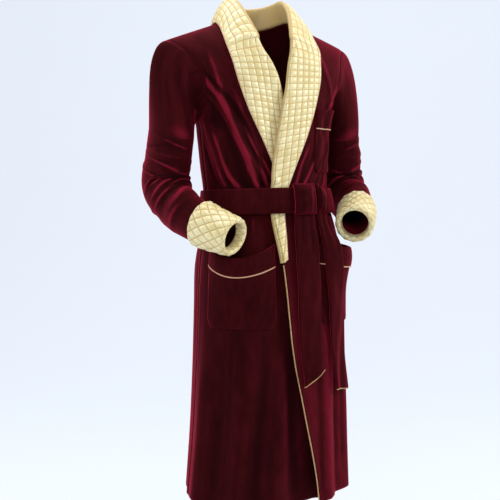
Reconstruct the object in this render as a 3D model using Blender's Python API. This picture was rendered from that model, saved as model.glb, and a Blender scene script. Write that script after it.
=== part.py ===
"""Full-length smoking jacket of velvet with a quilted shawl collar and cuffs.

The garment keeps the hollow form that it has when worn. +Z is up and the front
faces -Y. The origin is midway between the shoulders, at the base of the neck.
RIGHT (-1) is the garment's own right, at -X, and LEFT (+1) is its own left.
All sizes are in metres.
"""

import math

import bmesh
import bpy
from mathutils import Vector
from mathutils.bvhtree import BVHTree

RIGHT = -1
LEFT = 1

# Cloth thicknesses and clearances
VELVET = 0.0024
QUILTED = 0.0042
QUILT_RISE = 0.0022
SEAM_GAP = 0.0004
LAY_GAP = 0.0012
# Off a front's edge and off its faces, where the collar turns round it
EDGE_GAP = 0.0026
EDGE_LAY = 0.0018
NECK_GAP = 0.0042
PIPING = 0.0032

# Heights of the main lines
HEM = -1.150
ARMPIT = -0.240
NECK_WIDTH = 0.078
SHOULDER_HALF = 0.236
SHOULDER_DROP = 0.056
NECK_POINT_Z = 0.004
RIDGE_Y = 0.015

# Size of one quilted square of the collar
COLLAR_SQUARE = 0.016

BURGUNDY = (0.09, 0.004, 0.012, 1.0)
GOLD = (0.72, 0.52, 0.17, 1.0)
CORD_GOLD = (0.74, 0.42, 0.20, 1.0)


class Table:
    """Rows of numbers under named columns, read smoothly by the first column."""

    def __init__(self, names, rows):
        self.names = names.split()
        self.rows = sorted(rows)

    def at(self, name, key):
        rows = self.rows
        column = self.names.index(name)
        key = min(max(key, rows[0][0]), rows[-1][0])
        k = 0
        while k < len(rows) - 2 and key > rows[k + 1][0]:
            k += 1
        x0, x1 = rows[k][0], rows[k + 1][0]
        y0, y1 = rows[k][column], rows[k + 1][column]
        step = x1 - x0
        rise = (y1 - y0) / step
        before = rise
        after = rise
        if k > 0:
            before = (y1 - rows[k - 1][column]) / (x1 - rows[k - 1][0])
        if k < len(rows) - 2:
            after = (rows[k + 2][column] - y0) / (rows[k + 2][0] - x0)
        t = (key - x0) / step
        t2 = t * t
        t3 = t2 * t
        value = (2 * t3 - 3 * t2 + 1) * y0 + (3 * t2 - 2 * t3) * y1
        return value + step * ((t3 - 2 * t2 + t) * before + (t3 - t2) * after)


# The garment's level sections: half width, foremost and rearmost y, sideways
# shift of the middle, and how square the section is
BODY = Table("z half front back shift power", [
    (-1.16, 0.2120, -0.188, 0.112, 0.005, 2.20),
    (-1.00, 0.2010, -0.187, 0.108, 0.008, 2.20),
    (-0.85, 0.1945, -0.186, 0.104, 0.010, 2.20),
    (-0.70, 0.1900, -0.184, 0.100, 0.012, 2.25),
    (-0.60, 0.1850, -0.176, 0.098, 0.012, 2.30),
    (-0.52, 0.1730, -0.163, 0.096, 0.012, 2.30),
    (-0.43, 0.1560, -0.143, 0.098, 0.010, 2.30),
    (-0.35, 0.1580, -0.134, 0.112, 0.008, 2.30),
    (-0.28, 0.1620, -0.130, 0.122, 0.008, 2.35),
    (-0.24, 0.1655, -0.127, 0.125, 0.008, 2.40),
    (-0.20, 0.1820, -0.123, 0.127, 0.007, 2.40),
    (-0.16, 0.2030, -0.117, 0.127, 0.005, 2.40),
    (-0.12, 0.2240, -0.108, 0.122, 0.002, 2.40),
    (-0.08, 0.2430, -0.098, 0.112, 0.000, 2.40),
    (-0.04, 0.2600, -0.090, 0.100, 0.000, 2.40),
    (0.03, 0.2700, -0.080, 0.090, 0.000, 2.40),
])

# How far from the middle each armhole line lies, from armpit (0) to shoulder (1)
ARMHOLE = Table("rise front back", [
    (0.00, 0.1650, 0.1650),
    (0.10, 0.1680, 0.1690),
    (0.25, 0.1720, 0.1740),
    (0.45, 0.1790, 0.1810),
    (0.62, 0.1930, 0.1930),
    (0.80, 0.2080, 0.2090),
    (0.92, 0.2240, 0.2250),
    (1.00, 0.2360, 0.2360),
])

# The two front edges, as distances toward the piece's own side
EDGE = Table("z right left", [
    (-1.16, -0.140, 0.076),
    (-1.08, -0.134, 0.062),
    (-0.96, -0.125, 0.038),
    (-0.88, -0.118, 0.023),
    (-0.77, -0.107, 0.002),
    (-0.70, -0.100, -0.006),
    (-0.57, -0.084, -0.017),
    (-0.46, -0.066, -0.030),
    (-0.40, -0.058, -0.025),
    (-0.335, -0.045, -0.018),
    (-0.26, -0.023, -0.003),
    (-0.205, -0.008, 0.010),
    (-0.164, 0.002, 0.021),
    (-0.110, 0.022, 0.033),
    (-0.070, 0.046, 0.047),
    (-0.030, 0.066, 0.063),
    (0.004, 0.078, 0.078),
])

# Soft folds of the body: place round the body in degrees (0 front, +90 the
# left side) at the fold's upper and lower end, its ends' heights, its
# half breadth in degrees and how far it stands out (+) or in (-)
FOLDS = [
    # upper front, drawn from the shoulders toward the belt
    (-62, -26, -0.09, -0.37, 6.0, 0.0050),
    (-50, -18, -0.14, -0.38, 5.0, -0.0035),
    (-40, -12, -0.22, -0.40, 5.0, 0.0040),
    (62, 30, -0.10, -0.38, 6.0, 0.0040),
    (48, 20, -0.18, -0.39, 5.0, -0.0030),
    (-78, -58, -0.24, -0.40, 6.0, 0.0040),
    # skirt, front and sides
    (-8, -10, -0.52, -1.16, 5.5, 0.0060),
    (-20, -24, -0.74, -1.16, 6.0, -0.0050),
    (-34, -40, -0.50, -1.16, 6.5, 0.0055),
    (-54, -58, -0.76, -1.16, 7.0, -0.0050),
    (-76, -78, -0.55, -1.16, 8.0, 0.0060),
    (22, 26, -0.50, -1.16, 6.0, 0.0060),
    (36, 40, -0.66, -1.16, 5.5, -0.0050),
    (52, 56, -0.52, -1.16, 6.5, 0.0055),
    (74, 76, -0.60, -1.16, 7.0, -0.0050),
    # skirt, back
    (-104, -106, -0.50, -1.16, 8.0, -0.0055),
    (-126, -130, -0.47, -1.16, 8.0, 0.0075),
    (-150, -152, -0.50, -1.16, 7.0, -0.0060),
    (-172, -174, -0.47, -1.16, 8.0, 0.0080),
    (104, 106, -0.50, -1.16, 8.0, 0.0060),
    (128, 130, -0.50, -1.16, 8.0, -0.0065),
    (150, 154, -0.47, -1.16, 8.0, 0.0075),
    # upper back, bloused over the belt
    (-132, -140, -0.16, -0.40, 7.0, 0.0055),
    (-158, -160, -0.24, -0.41, 7.0, -0.0040),
    (136, 140, -0.18, -0.40, 7.0, 0.0050),
    (160, 158, -0.26, -0.41, 7.0, 0.0040),
]

# Middle line of each sleeve from below the armhole to its end, with its half
# breadth side to side and front to back; x is the distance toward its own side
ARM = {
    RIGHT: Table("along x y z side front", [
        (0.00, 0.2230, 0.020, -0.270, 0.0520, 0.0740),
        (0.25, 0.2280, 0.034, -0.340, 0.0530, 0.0750),
        (0.45, 0.2320, 0.040, -0.392, 0.0550, 0.0720),
        (0.60, 0.2260, 0.000, -0.434, 0.0490, 0.0640),
        (0.75, 0.2130, -0.062, -0.464, 0.0420, 0.0550),
        (0.88, 0.1870, -0.121, -0.488, 0.0410, 0.0470),
        (1.00, 0.1510, -0.182, -0.508, 0.0400, 0.0390),
    ]),
    LEFT: Table("along x y z side front", [
        (0.00, 0.2320, 0.020, -0.270, 0.0500, 0.0740),
        (0.25, 0.2430, 0.032, -0.340, 0.0530, 0.0750),
        (0.45, 0.2470, 0.038, -0.390, 0.0550, 0.0720),
        (0.60, 0.2460, -0.006, -0.428, 0.0500, 0.0640),
        (0.75, 0.2370, -0.062, -0.450, 0.0430, 0.0560),
        (0.88, 0.2120, -0.118, -0.470, 0.0410, 0.0480),
        (1.00, 0.1760, -0.170, -0.488, 0.0400, 0.0400),
    ]),
}

# Creases of a sleeve: place along it, middle of the crease round it in degrees
# (0 outer, 90 front), half breadths along and round, and its height
CREASES = [
    (-0.30, 40, 0.05, 50, 0.0030),
    (-0.05, 70, 0.035, 60, -0.0030),
    (0.16, 60, 0.035, 60, 0.0030),
    (0.34, 75, 0.030, 55, -0.0035),
    (0.43, 90, 0.026, 60, 0.0060),
    (0.50, 85, 0.022, 50, -0.0060),
    (0.565, 95, 0.024, 60, 0.0055),
    (0.66, 60, 0.026, 70, -0.0035),
    (0.72, 50, 0.028, 80, 0.0040),
    (0.47, -90, 0.060, 50, 0.0040),
    (0.60, -80, 0.040, 60, -0.0035),
]

# Roll line of the collar round the neck, from the centre back (0)
NECK_ROLL = Table("station x y z", [
    (0.000, 0.000, 0.080, 0.040),
    (0.040, 0.038, 0.072, 0.045),
    (0.080, 0.060, 0.046, 0.052),
    (0.116, 0.066, 0.014, 0.055),
    (0.150, 0.063, -0.024, 0.034),
    (0.182, 0.054, -0.059, -0.005),
    (0.214, 0.043, -0.089, -0.047),
])
NECK_END = 0.214

# The collar by its length from the centre back: height of its roll and of its
# outer edge, that edge's distance toward each side, and the turned-in breadth
COLLAR = Table("station roll_z edge_z right left turned", [
    (0.000, 0.040, -0.058, 0.000, 0.000, 0.048),
    (0.040, 0.045, -0.054, 0.054, 0.054, 0.048),
    (0.080, 0.052, -0.036, 0.094, 0.094, 0.048),
    (0.116, 0.055, -0.0075, 0.1115, 0.1115, 0.048),
    (0.150, 0.034, -0.030, 0.1180, 0.1180, 0.040),
    (0.182, -0.006, -0.050, 0.1190, 0.1200, 0.026),
    (0.214, -0.048, -0.070, 0.1180, 0.1210, 0.018),
    (0.262, -0.100, -0.104, 0.1120, 0.1180, 0.014),
    (0.310, -0.148, -0.144, 0.1030, 0.1130, 0.012),
    (0.358, -0.196, -0.186, 0.0900, 0.1000, 0.012),
    (0.406, -0.243, -0.230, 0.0740, 0.0840, 0.012),
    (0.454, -0.290, -0.276, 0.0540, 0.0640, 0.012),
    (0.502, -0.337, -0.323, 0.0320, 0.0420, 0.012),
    (0.550, -0.384, -0.371, 0.0090, 0.0200, 0.012),
    (0.598, -0.431, -0.420, -0.0160, 0.0000, 0.012),
    (0.646, -0.480, -0.470, -0.0380, -0.0070, 0.011),
    (0.694, -0.527, -0.519, -0.0560, -0.0080, 0.010),
    (0.742, -0.575, -0.568, -0.0700, -0.0090, 0.009),
])
SHOULDER_STATION = 0.116
COLLAR_END = {RIGHT: 0.646, LEFT: 0.742}
# The quilting's upright lines lean toward the middle as they go down
QUILT_LEAN = 0.14
# Cells across the fall and across the stand or turned-in part
COLLAR_LINES = 12
TURNED_CELLS = 3

# Patch pockets: inner and outer edge as degrees round the body, top height at
# the inner and outer edge, bottom height, band height, gape and sag of the mouth
POCKETS = {
    "right": (RIGHT, 12.5, 73.0, -0.532, -0.529, -0.728, 0.050, 0.028, 0.030),
    "left": (LEFT, 17.0, 80.0, -0.528, -0.545, -0.728, 0.050, 0.026, 0.012),
    "chest": (LEFT, 27.0, 71.0, -0.212, -0.212, -0.366, 0.046, 0.003, 0.002),
}
POCKET_COLUMNS = 10
POCKET_LAY = 0.0018

# Rows and columns of the panels, sleeves and cuffs
LOWER_ROWS = [0.0, 0.09, 0.18, 0.27, 0.36, 0.45, 0.53, 0.60, 0.66, 0.72, 0.77,
              0.83, 0.89, 0.95, 1.0]
UPPER_STEPS = 8
FRONT_COLUMNS = 12
BACK_COLUMNS = 13
SLEEVE_HEAD_STEPS = 4
SLEEVE_STEPS = 12
SLEEVE_END = 0.997
CUFF_START = 0.845
CUFF_COLUMNS = 26
CUFF_ROWS = 6
PIPED_ROWS = 8

BELT_MIDDLE = -0.430
BELT_HEIGHT = 0.060
BELT_THICK = 0.0045
BELT_SIDE_DROP = 0.015
BELT_COLUMNS = 36
# How far above or below its middle the knot's pieces still feel the belt
BELT_FEEL = 0.026
BELT_SEAT = 0.0004
# A place behind the front, for where nothing is found
BEHIND = -0.120

# The knot's two pieces: x from and to, z from and to, depth, slant
KNOT_TURN = (0.0130, 0.0740, -0.391, -0.463, 0.024, 0.000)
KNOT_PASS = (0.0745, 0.1100, -0.398, -0.456, 0.014, -0.010)

# The belt's hanging ends: distance down, middle x and breadth
TAIL_FRONT = Table("z x breadth", [
    (-0.850, 0.0560, 0.060),
    (-0.750, 0.0470, 0.062),
    (-0.600, 0.0420, 0.062),
    (-0.4633, 0.0430, 0.056),
])
TAIL_BACK = Table("z x breadth", [
    (-0.890, 0.1480, 0.052),
    (-0.800, 0.1360, 0.052),
    (-0.700, 0.1260, 0.054),
    (-0.580, 0.1140, 0.052),
    (-0.4618, 0.1000, 0.044),
])
# Rise of each tail's lower and upper end from its inner to its outer side
TAIL_END_SLANT = {"belt_tail_front": 0.036, "belt_tail_back": -0.010}
TAIL_TOP_SLANT = {"belt_tail_front": 0.0, "belt_tail_back": -0.0270}


def smooth(low, high, value):
    t = min(max((value - low) / (high - low), 0.0), 1.0)
    return t * t * (3 - 2 * t)


def lerp(a, b, t):
    return a + (b - a) * t


def power(value, exponent):
    return math.copysign(abs(value) ** exponent, value)


def shoulder_line(x):
    """Height of the shoulder seam at a distance from the middle."""
    slope = SHOULDER_DROP / (SHOULDER_HALF - NECK_WIDTH)
    return NECK_POINT_Z - slope * (abs(x) - NECK_WIDTH)


def top_line(x):
    """Height of the back piece's upper edge: shoulder seams and back neck."""
    if abs(x) >= NECK_WIDTH:
        return shoulder_line(x)
    return NECK_POINT_Z - 0.018 * (1 - (x / NECK_WIDTH) ** 2)


def ridge(z):
    """The y of the garment's side line at a height."""
    middle = (BODY.at("front", z) + BODY.at("back", z)) / 2 + 0.005
    return lerp(middle, RIDGE_Y, smooth(-0.30, -0.12, z))


def round_over(x, z):
    """How far the surface has come away from the shoulder ridge, 0 to 1."""
    depth = min(max((shoulder_line(x) - z) / 0.115, 0.0), 1.0)
    return math.sqrt(1 - (1 - depth) ** 2)


def section_x(turn, z):
    p = 2 / BODY.at("power", z)
    return BODY.at("shift", z) + BODY.at("half", z) * power(math.sin(turn), p)


def section_turn(x, z):
    p = BODY.at("power", z) / 2
    ratio = (x - BODY.at("shift", z)) / BODY.at("half", z)
    return math.asin(min(max(power(ratio, p), -1.0), 1.0))


def section_y(turn, z, face):
    """The y at a turn of the section; face -1 is the front and +1 the back."""
    p = 2 / BODY.at("power", z)
    reach = BODY.at("front" if face < 0 else "back", z) - ridge(z)
    return ridge(z) + reach * power(math.cos(turn), p) * round_over(section_x(turn, z), z)


def fold_height(degrees, z):
    total = 0.0
    for top_turn, low_turn, top_z, low_z, breadth, height in FOLDS:
        along = (z - top_z) / (low_z - top_z)
        centre = lerp(top_turn, low_turn, min(max(along, 0.0), 1.0))
        away = (degrees - centre + 180) % 360 - 180
        if abs(away) > 3.2 * breadth:
            continue
        fade = smooth(-0.12, 0.22, along)
        if low_z > HEM:
            fade *= 1 - smooth(0.80, 1.10, along)
        total += height * fade * math.exp(-((away / breadth) ** 2))
    belt = 1 - math.exp(-(((z - BELT_MIDDLE) / 0.045) ** 2))
    pockets = smooth(-0.78, -0.72, z) * smooth(-0.46, -0.53, z)
    if abs(degrees) < 90:
        belt *= 1 - 0.85 * pockets
    return total * belt * lerp(1.5, 1.0, smooth(-0.60, -0.45, z))


def overlap_lift(x, z, side):
    """The over front stands out and the under front in, where they overlap."""
    low = smooth(-0.80, -1.10, z)
    if side == LEFT:
        near = 1 - smooth(0.035, 0.13, x)
        return near * lerp(0.0045, 0.0120, low)
    near = smooth(-0.085, -0.015, x) * smooth(-0.12, -0.20, z)
    inward = smooth(-0.02, 0.07, x)
    return -near * 0.0140 - near * inward * lerp(0.0, 0.010, low)


def body_point(turn, z, face, side=0):
    """A point of the garment's outer surface, with its folds."""
    x = section_x(turn, z)
    y = section_y(turn, z, face)
    degrees = math.degrees(turn) if face < 0 else 180 - math.degrees(turn)
    out = fold_height(degrees, z) * round_over(x, z)
    if face < 0 and side:
        out += overlap_lift(x, z, side)
    out_y = math.cos(turn) * (-1 if face < 0 else 1)
    seam = SEAM_GAP / 2 * (-1 if face < 0 else 1)
    return Vector((x + out * math.sin(turn), y + out * out_y + seam, z))


def hem_height(turn, t):
    """The hem dips a little at the front and back."""
    return lerp(HEM - 0.010 * math.cos(turn) ** 2, ARMPIT, t)


def front_edge(side, z):
    """The x of a front's edge at a height."""
    return side * EDGE.at("left" if side == LEFT else "right", z)


def armhole_x(face, side, tau):
    """The x of an armhole line; the chest sits a little to the left of the neck."""
    key = "front" if face < 0 else "back"
    return side * ARMHOLE.at(key, tau) + BODY.at("shift", ARMPIT) * (1 - smooth(0, 1, tau))


def upper_row(side, tau):
    """The x of the front edge and of the armhole on a row above the armpit."""
    inner = front_edge(side, ARMPIT)
    for _ in range(12):
        inner = front_edge(side, lerp(ARMPIT, shoulder_line(inner), tau))
    return inner, armhole_x(-1, side, tau)


def front_point(side, s, t):
    """A front's outer surface: s from its edge to the side, t from the hem."""
    if t <= 1:
        z = lerp(HEM, ARMPIT, t)
        start = section_turn(front_edge(side, z), z)
        turn = lerp(start, side * math.pi / 2, s)
        return body_point(turn, hem_height(turn, t), -1, side)
    tau = min(t - 1, 1.0)
    inner, outer = upper_row(side, tau)
    start = section_turn(front_edge(side, ARMPIT), ARMPIT)
    low_x = section_x(lerp(start, side * math.pi / 2, min(s, 1.0)), ARMPIT)
    low_inner = front_edge(side, ARMPIT)
    low_outer = section_x(side * math.pi / 2, ARMPIT)
    share = (low_x - low_inner) / (low_outer - low_inner) + max(s - 1, 0.0)
    x = lerp(inner, outer, lerp(share, s, smooth(0, 0.7, tau)))
    z = lerp(ARMPIT, shoulder_line(x), tau)
    return body_point(section_turn(x, z), z, -1, side)


def back_point(s, t):
    """The back's outer surface: s from -1 at the right side to 1 at the left."""
    if t <= 1:
        turn = s * math.pi / 2
        return body_point(turn, hem_height(turn, t), 1)
    tau = min(t - 1, 1.0)
    middle = (armhole_x(1, LEFT, tau) + armhole_x(1, RIGHT, tau)) / 2
    reach = armhole_x(1, LEFT, tau) - middle
    low_x = section_x(min(max(s, -1.0), 1.0) * math.pi / 2, ARMPIT)
    share = (low_x - BODY.at("shift", ARMPIT)) / BODY.at("half", ARMPIT)
    x = middle + reach * lerp(share, s, smooth(0, 0.7, tau))
    z = lerp(ARMPIT, top_line(x), tau)
    return body_point(section_turn(x, z), z, 1)


def grid_of(point, columns, rows):
    return [[point(s, t) for s in columns] for t in rows]


def inward(point, s, t, thickness, flip):
    """The inner wall's point: the outer one moved in along the normal."""
    step = 0.01
    rise = 0.0002 if t > 2 - step else step
    ahead = min(t + rise, 2.0)
    across = point(s + step, t) - point(s - step, t)
    along = point(s, ahead) - point(s, ahead - 2 * rise)
    normal = across.cross(along).normalized() * flip
    return point(s, t) - normal * thickness


def steps(count, low=0.0, high=1.0):
    return [lerp(low, high, k / count) for k in range(count + 1)]


def arc_steps(count):
    """Steps from 0 to 1 that grow closer toward 1."""
    return [math.sin(math.pi / 2 * k / count) ** 0.9 for k in range(count + 1)]


def grid_mesh(points, closed):
    """A grid of quads with its vertices at the given rows of points."""
    rows = len(points)
    columns = len(points[0])
    mesh = bmesh.new()
    place = mesh.verts.layers.int.new("place")
    bmesh.ops.create_grid(
        mesh, x_segments=columns if closed else columns - 1, y_segments=rows - 1, size=1.0)
    across = columns if closed else columns - 1
    for vert in mesh.verts:
        column = round((vert.co.x + 1) / 2 * across)
        row = round((vert.co.y + 1) / 2 * (rows - 1))
        vert[place] = row * columns + column % columns
    for vert in mesh.verts:
        vert.co = points[vert[place] // columns][vert[place] % columns]
    if closed:
        bmesh.ops.remove_doubles(mesh, verts=mesh.verts[:], dist=1e-7)
    return mesh, place


def wall(name, outer, inner, colour, closed=False):
    """A cloth wall between two grids of points."""
    columns = len(outer[0])
    mesh, place = grid_mesh(outer, closed)
    grown = bmesh.ops.extrude_face_region(mesh, geom=mesh.faces[:])
    for item in grown["geom"]:
        if isinstance(item, bmesh.types.BMVert):
            item.co = inner[item[place] // columns][item[place] % columns]
    bmesh.ops.recalc_face_normals(mesh, faces=mesh.faces[:])
    return finish(name, mesh, colour)


def finish(name, mesh, colour):
    data = bpy.data.meshes.new(name)
    bmesh.ops.triangulate(mesh, faces=[f for f in mesh.faces if len(f.verts) > 3])
    mesh.to_mesh(data)
    mesh.free()
    item = bpy.data.objects.new(name, data)
    bpy.context.scene.collection.objects.link(item)
    material = bpy.data.materials.new(name)
    material.use_nodes = True
    shader = material.node_tree.nodes["Principled BSDF"]
    shader.inputs["Base Color"].default_value = colour
    shader.inputs["Roughness"].default_value = 0.45 if colour == GOLD else 0.85
    shader.inputs["Metallic"].default_value = 0.0
    data.materials.append(material)
    return item


def outer_tree(*items):
    """A search tree of finished pieces, for what lies on them."""
    verts = []
    faces = []
    for item in items:
        start = len(verts)
        verts += [v.co.copy() for v in item.data.vertices]
        faces += [[start + k for k in p.vertices] for p in item.data.polygons]
    return BVHTree.FromPolygons(verts, faces)


def rest_on(tree, point, out, clearance):
    """Moves a point along out until it lies the clearance above the tree."""
    reach = 0.08
    hit, _, _, distance = tree.ray_cast(point + out * reach, -out, 2 * reach)
    if hit is None:
        return point
    height = reach - distance
    return point + out * max(height + clearance, 0.0)


def remove_all():
    for item in list(bpy.data.objects):
        bpy.data.objects.remove(item, do_unlink=True)


def make_body():
    rows = LOWER_ROWS + [1 + k for k in arc_steps(UPPER_STEPS)[1:]]
    made = {}
    for side, name in ((RIGHT, "front_right"), (LEFT, "front_left")):
        def point(s, t, side=side):
            return front_point(side, s, t)
        columns = steps(FRONT_COLUMNS)
        outer = grid_of(point, columns, rows)
        inner = [[inward(point, s, t, VELVET, side) for s in columns] for t in rows]
        made[name] = (wall(name, outer, inner, BURGUNDY), outer, inner)
    columns = steps(BACK_COLUMNS, -1.0, 1.0)
    outer = grid_of(back_point, columns, rows)
    inner = [[inward(back_point, s, t, VELVET, -1) for s in columns] for t in rows]
    made["back"] = (wall("back", outer, inner, BURGUNDY), outer, inner)
    return made


def arm_point(side, along, degrees, offset):
    """A point on a sleeve's tube, the offset out from its outer surface."""
    table = ARM[side]

    def centre(k):
        inside = min(max(k, 0.0), 1.0)
        found = Vector((side * table.at("x", inside), table.at("y", inside), table.at("z", inside)))
        if k > 1:
            before = Vector((side * table.at("x", 0.99), table.at("y", 0.99), table.at("z", 0.99)))
            found += (found - before) * (k - 1) * 100
        return found

    ahead = centre(along + 0.02) - centre(max(along - 0.02, 0.0))
    axis = ahead.normalized()
    outward = Vector((side, 0, 0))
    outward = (outward - axis * outward.dot(axis)).normalized()
    forward = axis.cross(outward) * side
    if forward.y > 0 and along < 0.3:
        forward = -forward
    turn = math.radians(degrees)
    crease = 0.0
    for place, middle, length, breadth, height in CREASES:
        away = (degrees - middle + 180) % 360 - 180
        crease += height * math.exp(-((along - place) / length) ** 2 - (away / breadth) ** 2)
    inside = min(along, 1.0)
    across = table.at("side", inside) + offset + crease
    deep = table.at("front", inside) + offset + crease
    return centre(along) + outward * across * math.cos(turn) + forward * deep * math.sin(turn)


def hermite(start, end, leave, arrive, t):
    t2 = t * t
    t3 = t2 * t
    return (start * (2 * t3 - 3 * t2 + 1) + leave * (t3 - 2 * t2 + t)
            + end * (3 * t2 - 2 * t3) + arrive * (t3 - t2))


def armhole_ring(side, made, layer):
    """The armhole's points from the armpit over the front, tip and back.

    Each comes with the direction in which the panel runs out there.
    """
    front = made["front_left" if side == LEFT else "front_right"]
    back = made["back"]
    last = len(LOWER_ROWS) - 1
    front_rows = range(last, last + UPPER_STEPS + 1)
    edge = -1 if side == LEFT else 0
    before = -2 if side == LEFT else 1
    front_side = [(front[layer][k][-1], front[1][k][-1] - front[1][k][-2]) for k in front_rows]
    back_side = [(back[layer][k][edge], back[1][k][edge] - back[1][k][before]) for k in front_rows]
    ring = [(front_side[0][0].lerp(back_side[0][0], 0.5), Vector((side, 0, -0.5)))]
    ring += front_side[1:-1]
    tip = front_side[-1][1] + back_side[-1][1]
    ring.append((front_side[-1][0].lerp(back_side[-1][0], 0.5), tip))
    ring += back_side[-2:0:-1]
    return [(point, out.normalized()) for point, out in ring]


def sleeve_grids(side, made):
    """The sleeve's outer and inner points, from the armhole to the cuff."""
    outside = armhole_ring(side, made, 1)
    inside = armhole_ring(side, made, 2)
    count = len(outside)
    degrees = [180 - 360 * k / count for k in range(count)]
    start = [point + out * SEAM_GAP for point, out in outside]
    inner_start = [point + out * SEAM_GAP for point, out in inside]
    inner_start[0] = start[0] + Vector((side * 0.0004, 0, VELVET))
    outer = [start]
    down = Vector((0, 0.10, -1)).normalized()
    first = [arm_point(side, 0.0, d, 0.0) for d in degrees]
    for step in range(1, SLEEVE_HEAD_STEPS):
        w = step / SLEEVE_HEAD_STEPS
        ring = []
        for k in range(count):
            reach = (first[k] - start[k]).length
            ring.append(hermite(
                start[k], first[k], outside[k][1] * reach * 0.9, down * reach * 0.9, w))
        outer.append(ring)
    for along in steps(SLEEVE_STEPS, 0.0, SLEEVE_END):
        outer.append([arm_point(side, along, d, 0.0) for d in degrees])
    inner = [inner_start] + [
        [move_in(outer, row, k, VELVET) for k in range(count)] for row in range(1, len(outer))]
    return outer, inner


def move_in(grid, row, column, thickness):
    """A closed tube's inner point, straight in from the outer one."""
    columns = len(grid[0])
    across = grid[row][(column + 1) % columns] - grid[row][column - 1]
    along = grid[min(row + 1, len(grid) - 1)][column] - grid[row - 1][column]
    normal = across.cross(along).normalized()
    point = grid[row][column]
    middle = sum(grid[row], Vector()) / columns
    if normal.dot(middle - point) < 0:
        normal = -normal
    return point + normal * thickness


def make_sleeves(made):
    for side, name in ((RIGHT, "sleeve_right"), (LEFT, "sleeve_left")):
        outer, inner = sleeve_grids(side, made)
        made[name] = (wall(name, outer, inner, BURGUNDY, closed=True), outer, inner)


def cuff_grids(side):
    """A cuff's satin face and its hidden face, with diamonds raised."""
    shares = [k / CUFF_ROWS for k in range(CUFF_ROWS + 1)]
    hidden = [(lerp(CUFF_START, 1.0, share), LAY_GAP * (2.0 - share)) for share in shares]
    satin = [(place, offset + QUILTED) for place, offset in hidden]
    satin += [(1.012, 0.0012), (1.012, -0.0052), (0.975, -0.0084)]
    hidden += [(1.0035, -0.0002), (1.0035, -0.0032), (0.975, -0.0046)]
    outer = []
    inner = []
    for row in range(len(satin)):
        ring = []
        for k in range(CUFF_COLUMNS):
            degrees = 180 - 360 * k / CUFF_COLUMNS
            place, offset = satin[row]
            raised = QUILT_RISE if (row + k) % 2 and 0 < row <= CUFF_ROWS else 0.0
            ring.append(arm_point(side, place, degrees, offset + raised))
        outer.append(ring)
        inner.append([
            arm_point(side, hidden[row][0], 180 - 360 * k / CUFF_COLUMNS, hidden[row][1])
            for k in range(CUFF_COLUMNS)])
    return outer, inner


def make_cuffs(made):
    for side, name in ((RIGHT, "cuff_right"), (LEFT, "cuff_left")):
        outer, inner = cuff_grids(side)
        made[name] = (wall(name, outer, inner, GOLD, closed=True), outer, inner)


def skin(side, x, z, out, face=-1):
    """A point of the body's surface over x and z, moved out along its normal."""
    turn = section_turn(x, z)
    point = body_point(turn, z, face, side)
    below = body_point(section_turn(x, z - 0.004), z - 0.004, face, side)
    along = point - below
    across = Vector((math.cos(turn), -face * math.sin(turn), 0))
    normal = across.cross(along).normalized()
    if normal.y * face < 0:
        normal = -normal
    return point + normal * out, normal


def edge_frame(front, z):
    """A front edge's outer and inner point at a height, and the ways off it."""
    _, outer, inner = front
    row = 0
    while row < len(outer) - 2 and outer[row + 1][0].z < z:
        row += 1
    share = (z - outer[row][0].z) / (outer[row + 1][0].z - outer[row][0].z)
    outside = outer[row][0].lerp(outer[row + 1][0], share)
    inside = inner[row][0].lerp(inner[row + 1][0], share)
    beside = outer[row][1].lerp(outer[row + 1][1], share)
    away = (outside - beside).normalized()
    out = (outside - inside).normalized()
    return outside, inside, away, out


def round_edge(front, z, turned, reached):
    """The hidden face's path round a front's edge at a height, from inside.

    reached is how far the turned-in part has gone behind the panel, 0 to 1.
    """
    outside, inside, away, out = edge_frame(front, z)
    return [
        inside + away * lerp(EDGE_GAP, -turned, reached) - out * lerp(0.0050, EDGE_LAY, reached),
        inside + away * EDGE_GAP - out * EDGE_LAY,
        (inside + outside) / 2 + away * (EDGE_GAP + 0.0024),
        outside + away * EDGE_GAP + out * EDGE_LAY,
    ]


def collar_station(side, station, front):
    """The collar's key points at a station, on its hidden face."""
    key = "left" if side == LEFT else "right"
    edge_x = side * COLLAR.at(key, station)
    edge_z = COLLAR.at("edge_z", station)
    face = 1 if station < SHOULDER_STATION else -1
    edge, _ = skin(side, edge_x, min(edge_z, shoulder_line(edge_x)), LAY_GAP, face)
    wrapped = smooth(0.205, 0.250, station)
    near = min(station, NECK_END)
    roll = Vector((side * NECK_ROLL.at("x", near), NECK_ROLL.at("y", near), NECK_ROLL.at("z", near)))
    if station <= SHOULDER_STATION:
        neck_x = side * NECK_WIDTH * math.sin(math.pi / 2 * station / SHOULDER_STATION)
        neck, _ = skin(0, neck_x, top_line(neck_x), 0.0, 1)
    else:
        along = (near - SHOULDER_STATION) / (NECK_END - SHOULDER_STATION)
        outside, inside, away, _ = edge_frame(front, lerp(NECK_POINT_Z, -0.060, along))
        neck = (outside + inside) / 2 + away * lerp(0.0008, NECK_GAP, smooth(0, 0.2, along))
    up = (roll - (neck + edge) / 2).normalized()
    out = (edge - neck) - up * (edge - neck).dot(up)
    out.normalize()
    ends = [
        neck + (roll - neck).normalized() * 0.0012,
        roll - up * 0.0020 - out * 0.0024,
        roll,
        roll - up * 0.0020 + out * 0.0024,
    ]
    if wrapped > 0:
        reached = smooth(0.240, 0.280, station)
        turned = COLLAR.at("turned", station)
        lapped = round_edge(front, COLLAR.at("roll_z", station), turned, reached)
        ends = [a.lerp(b, wrapped) for a, b in zip(ends, lapped)]
    return ends, edge, up, out, wrapped, edge_x, edge_z


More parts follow.
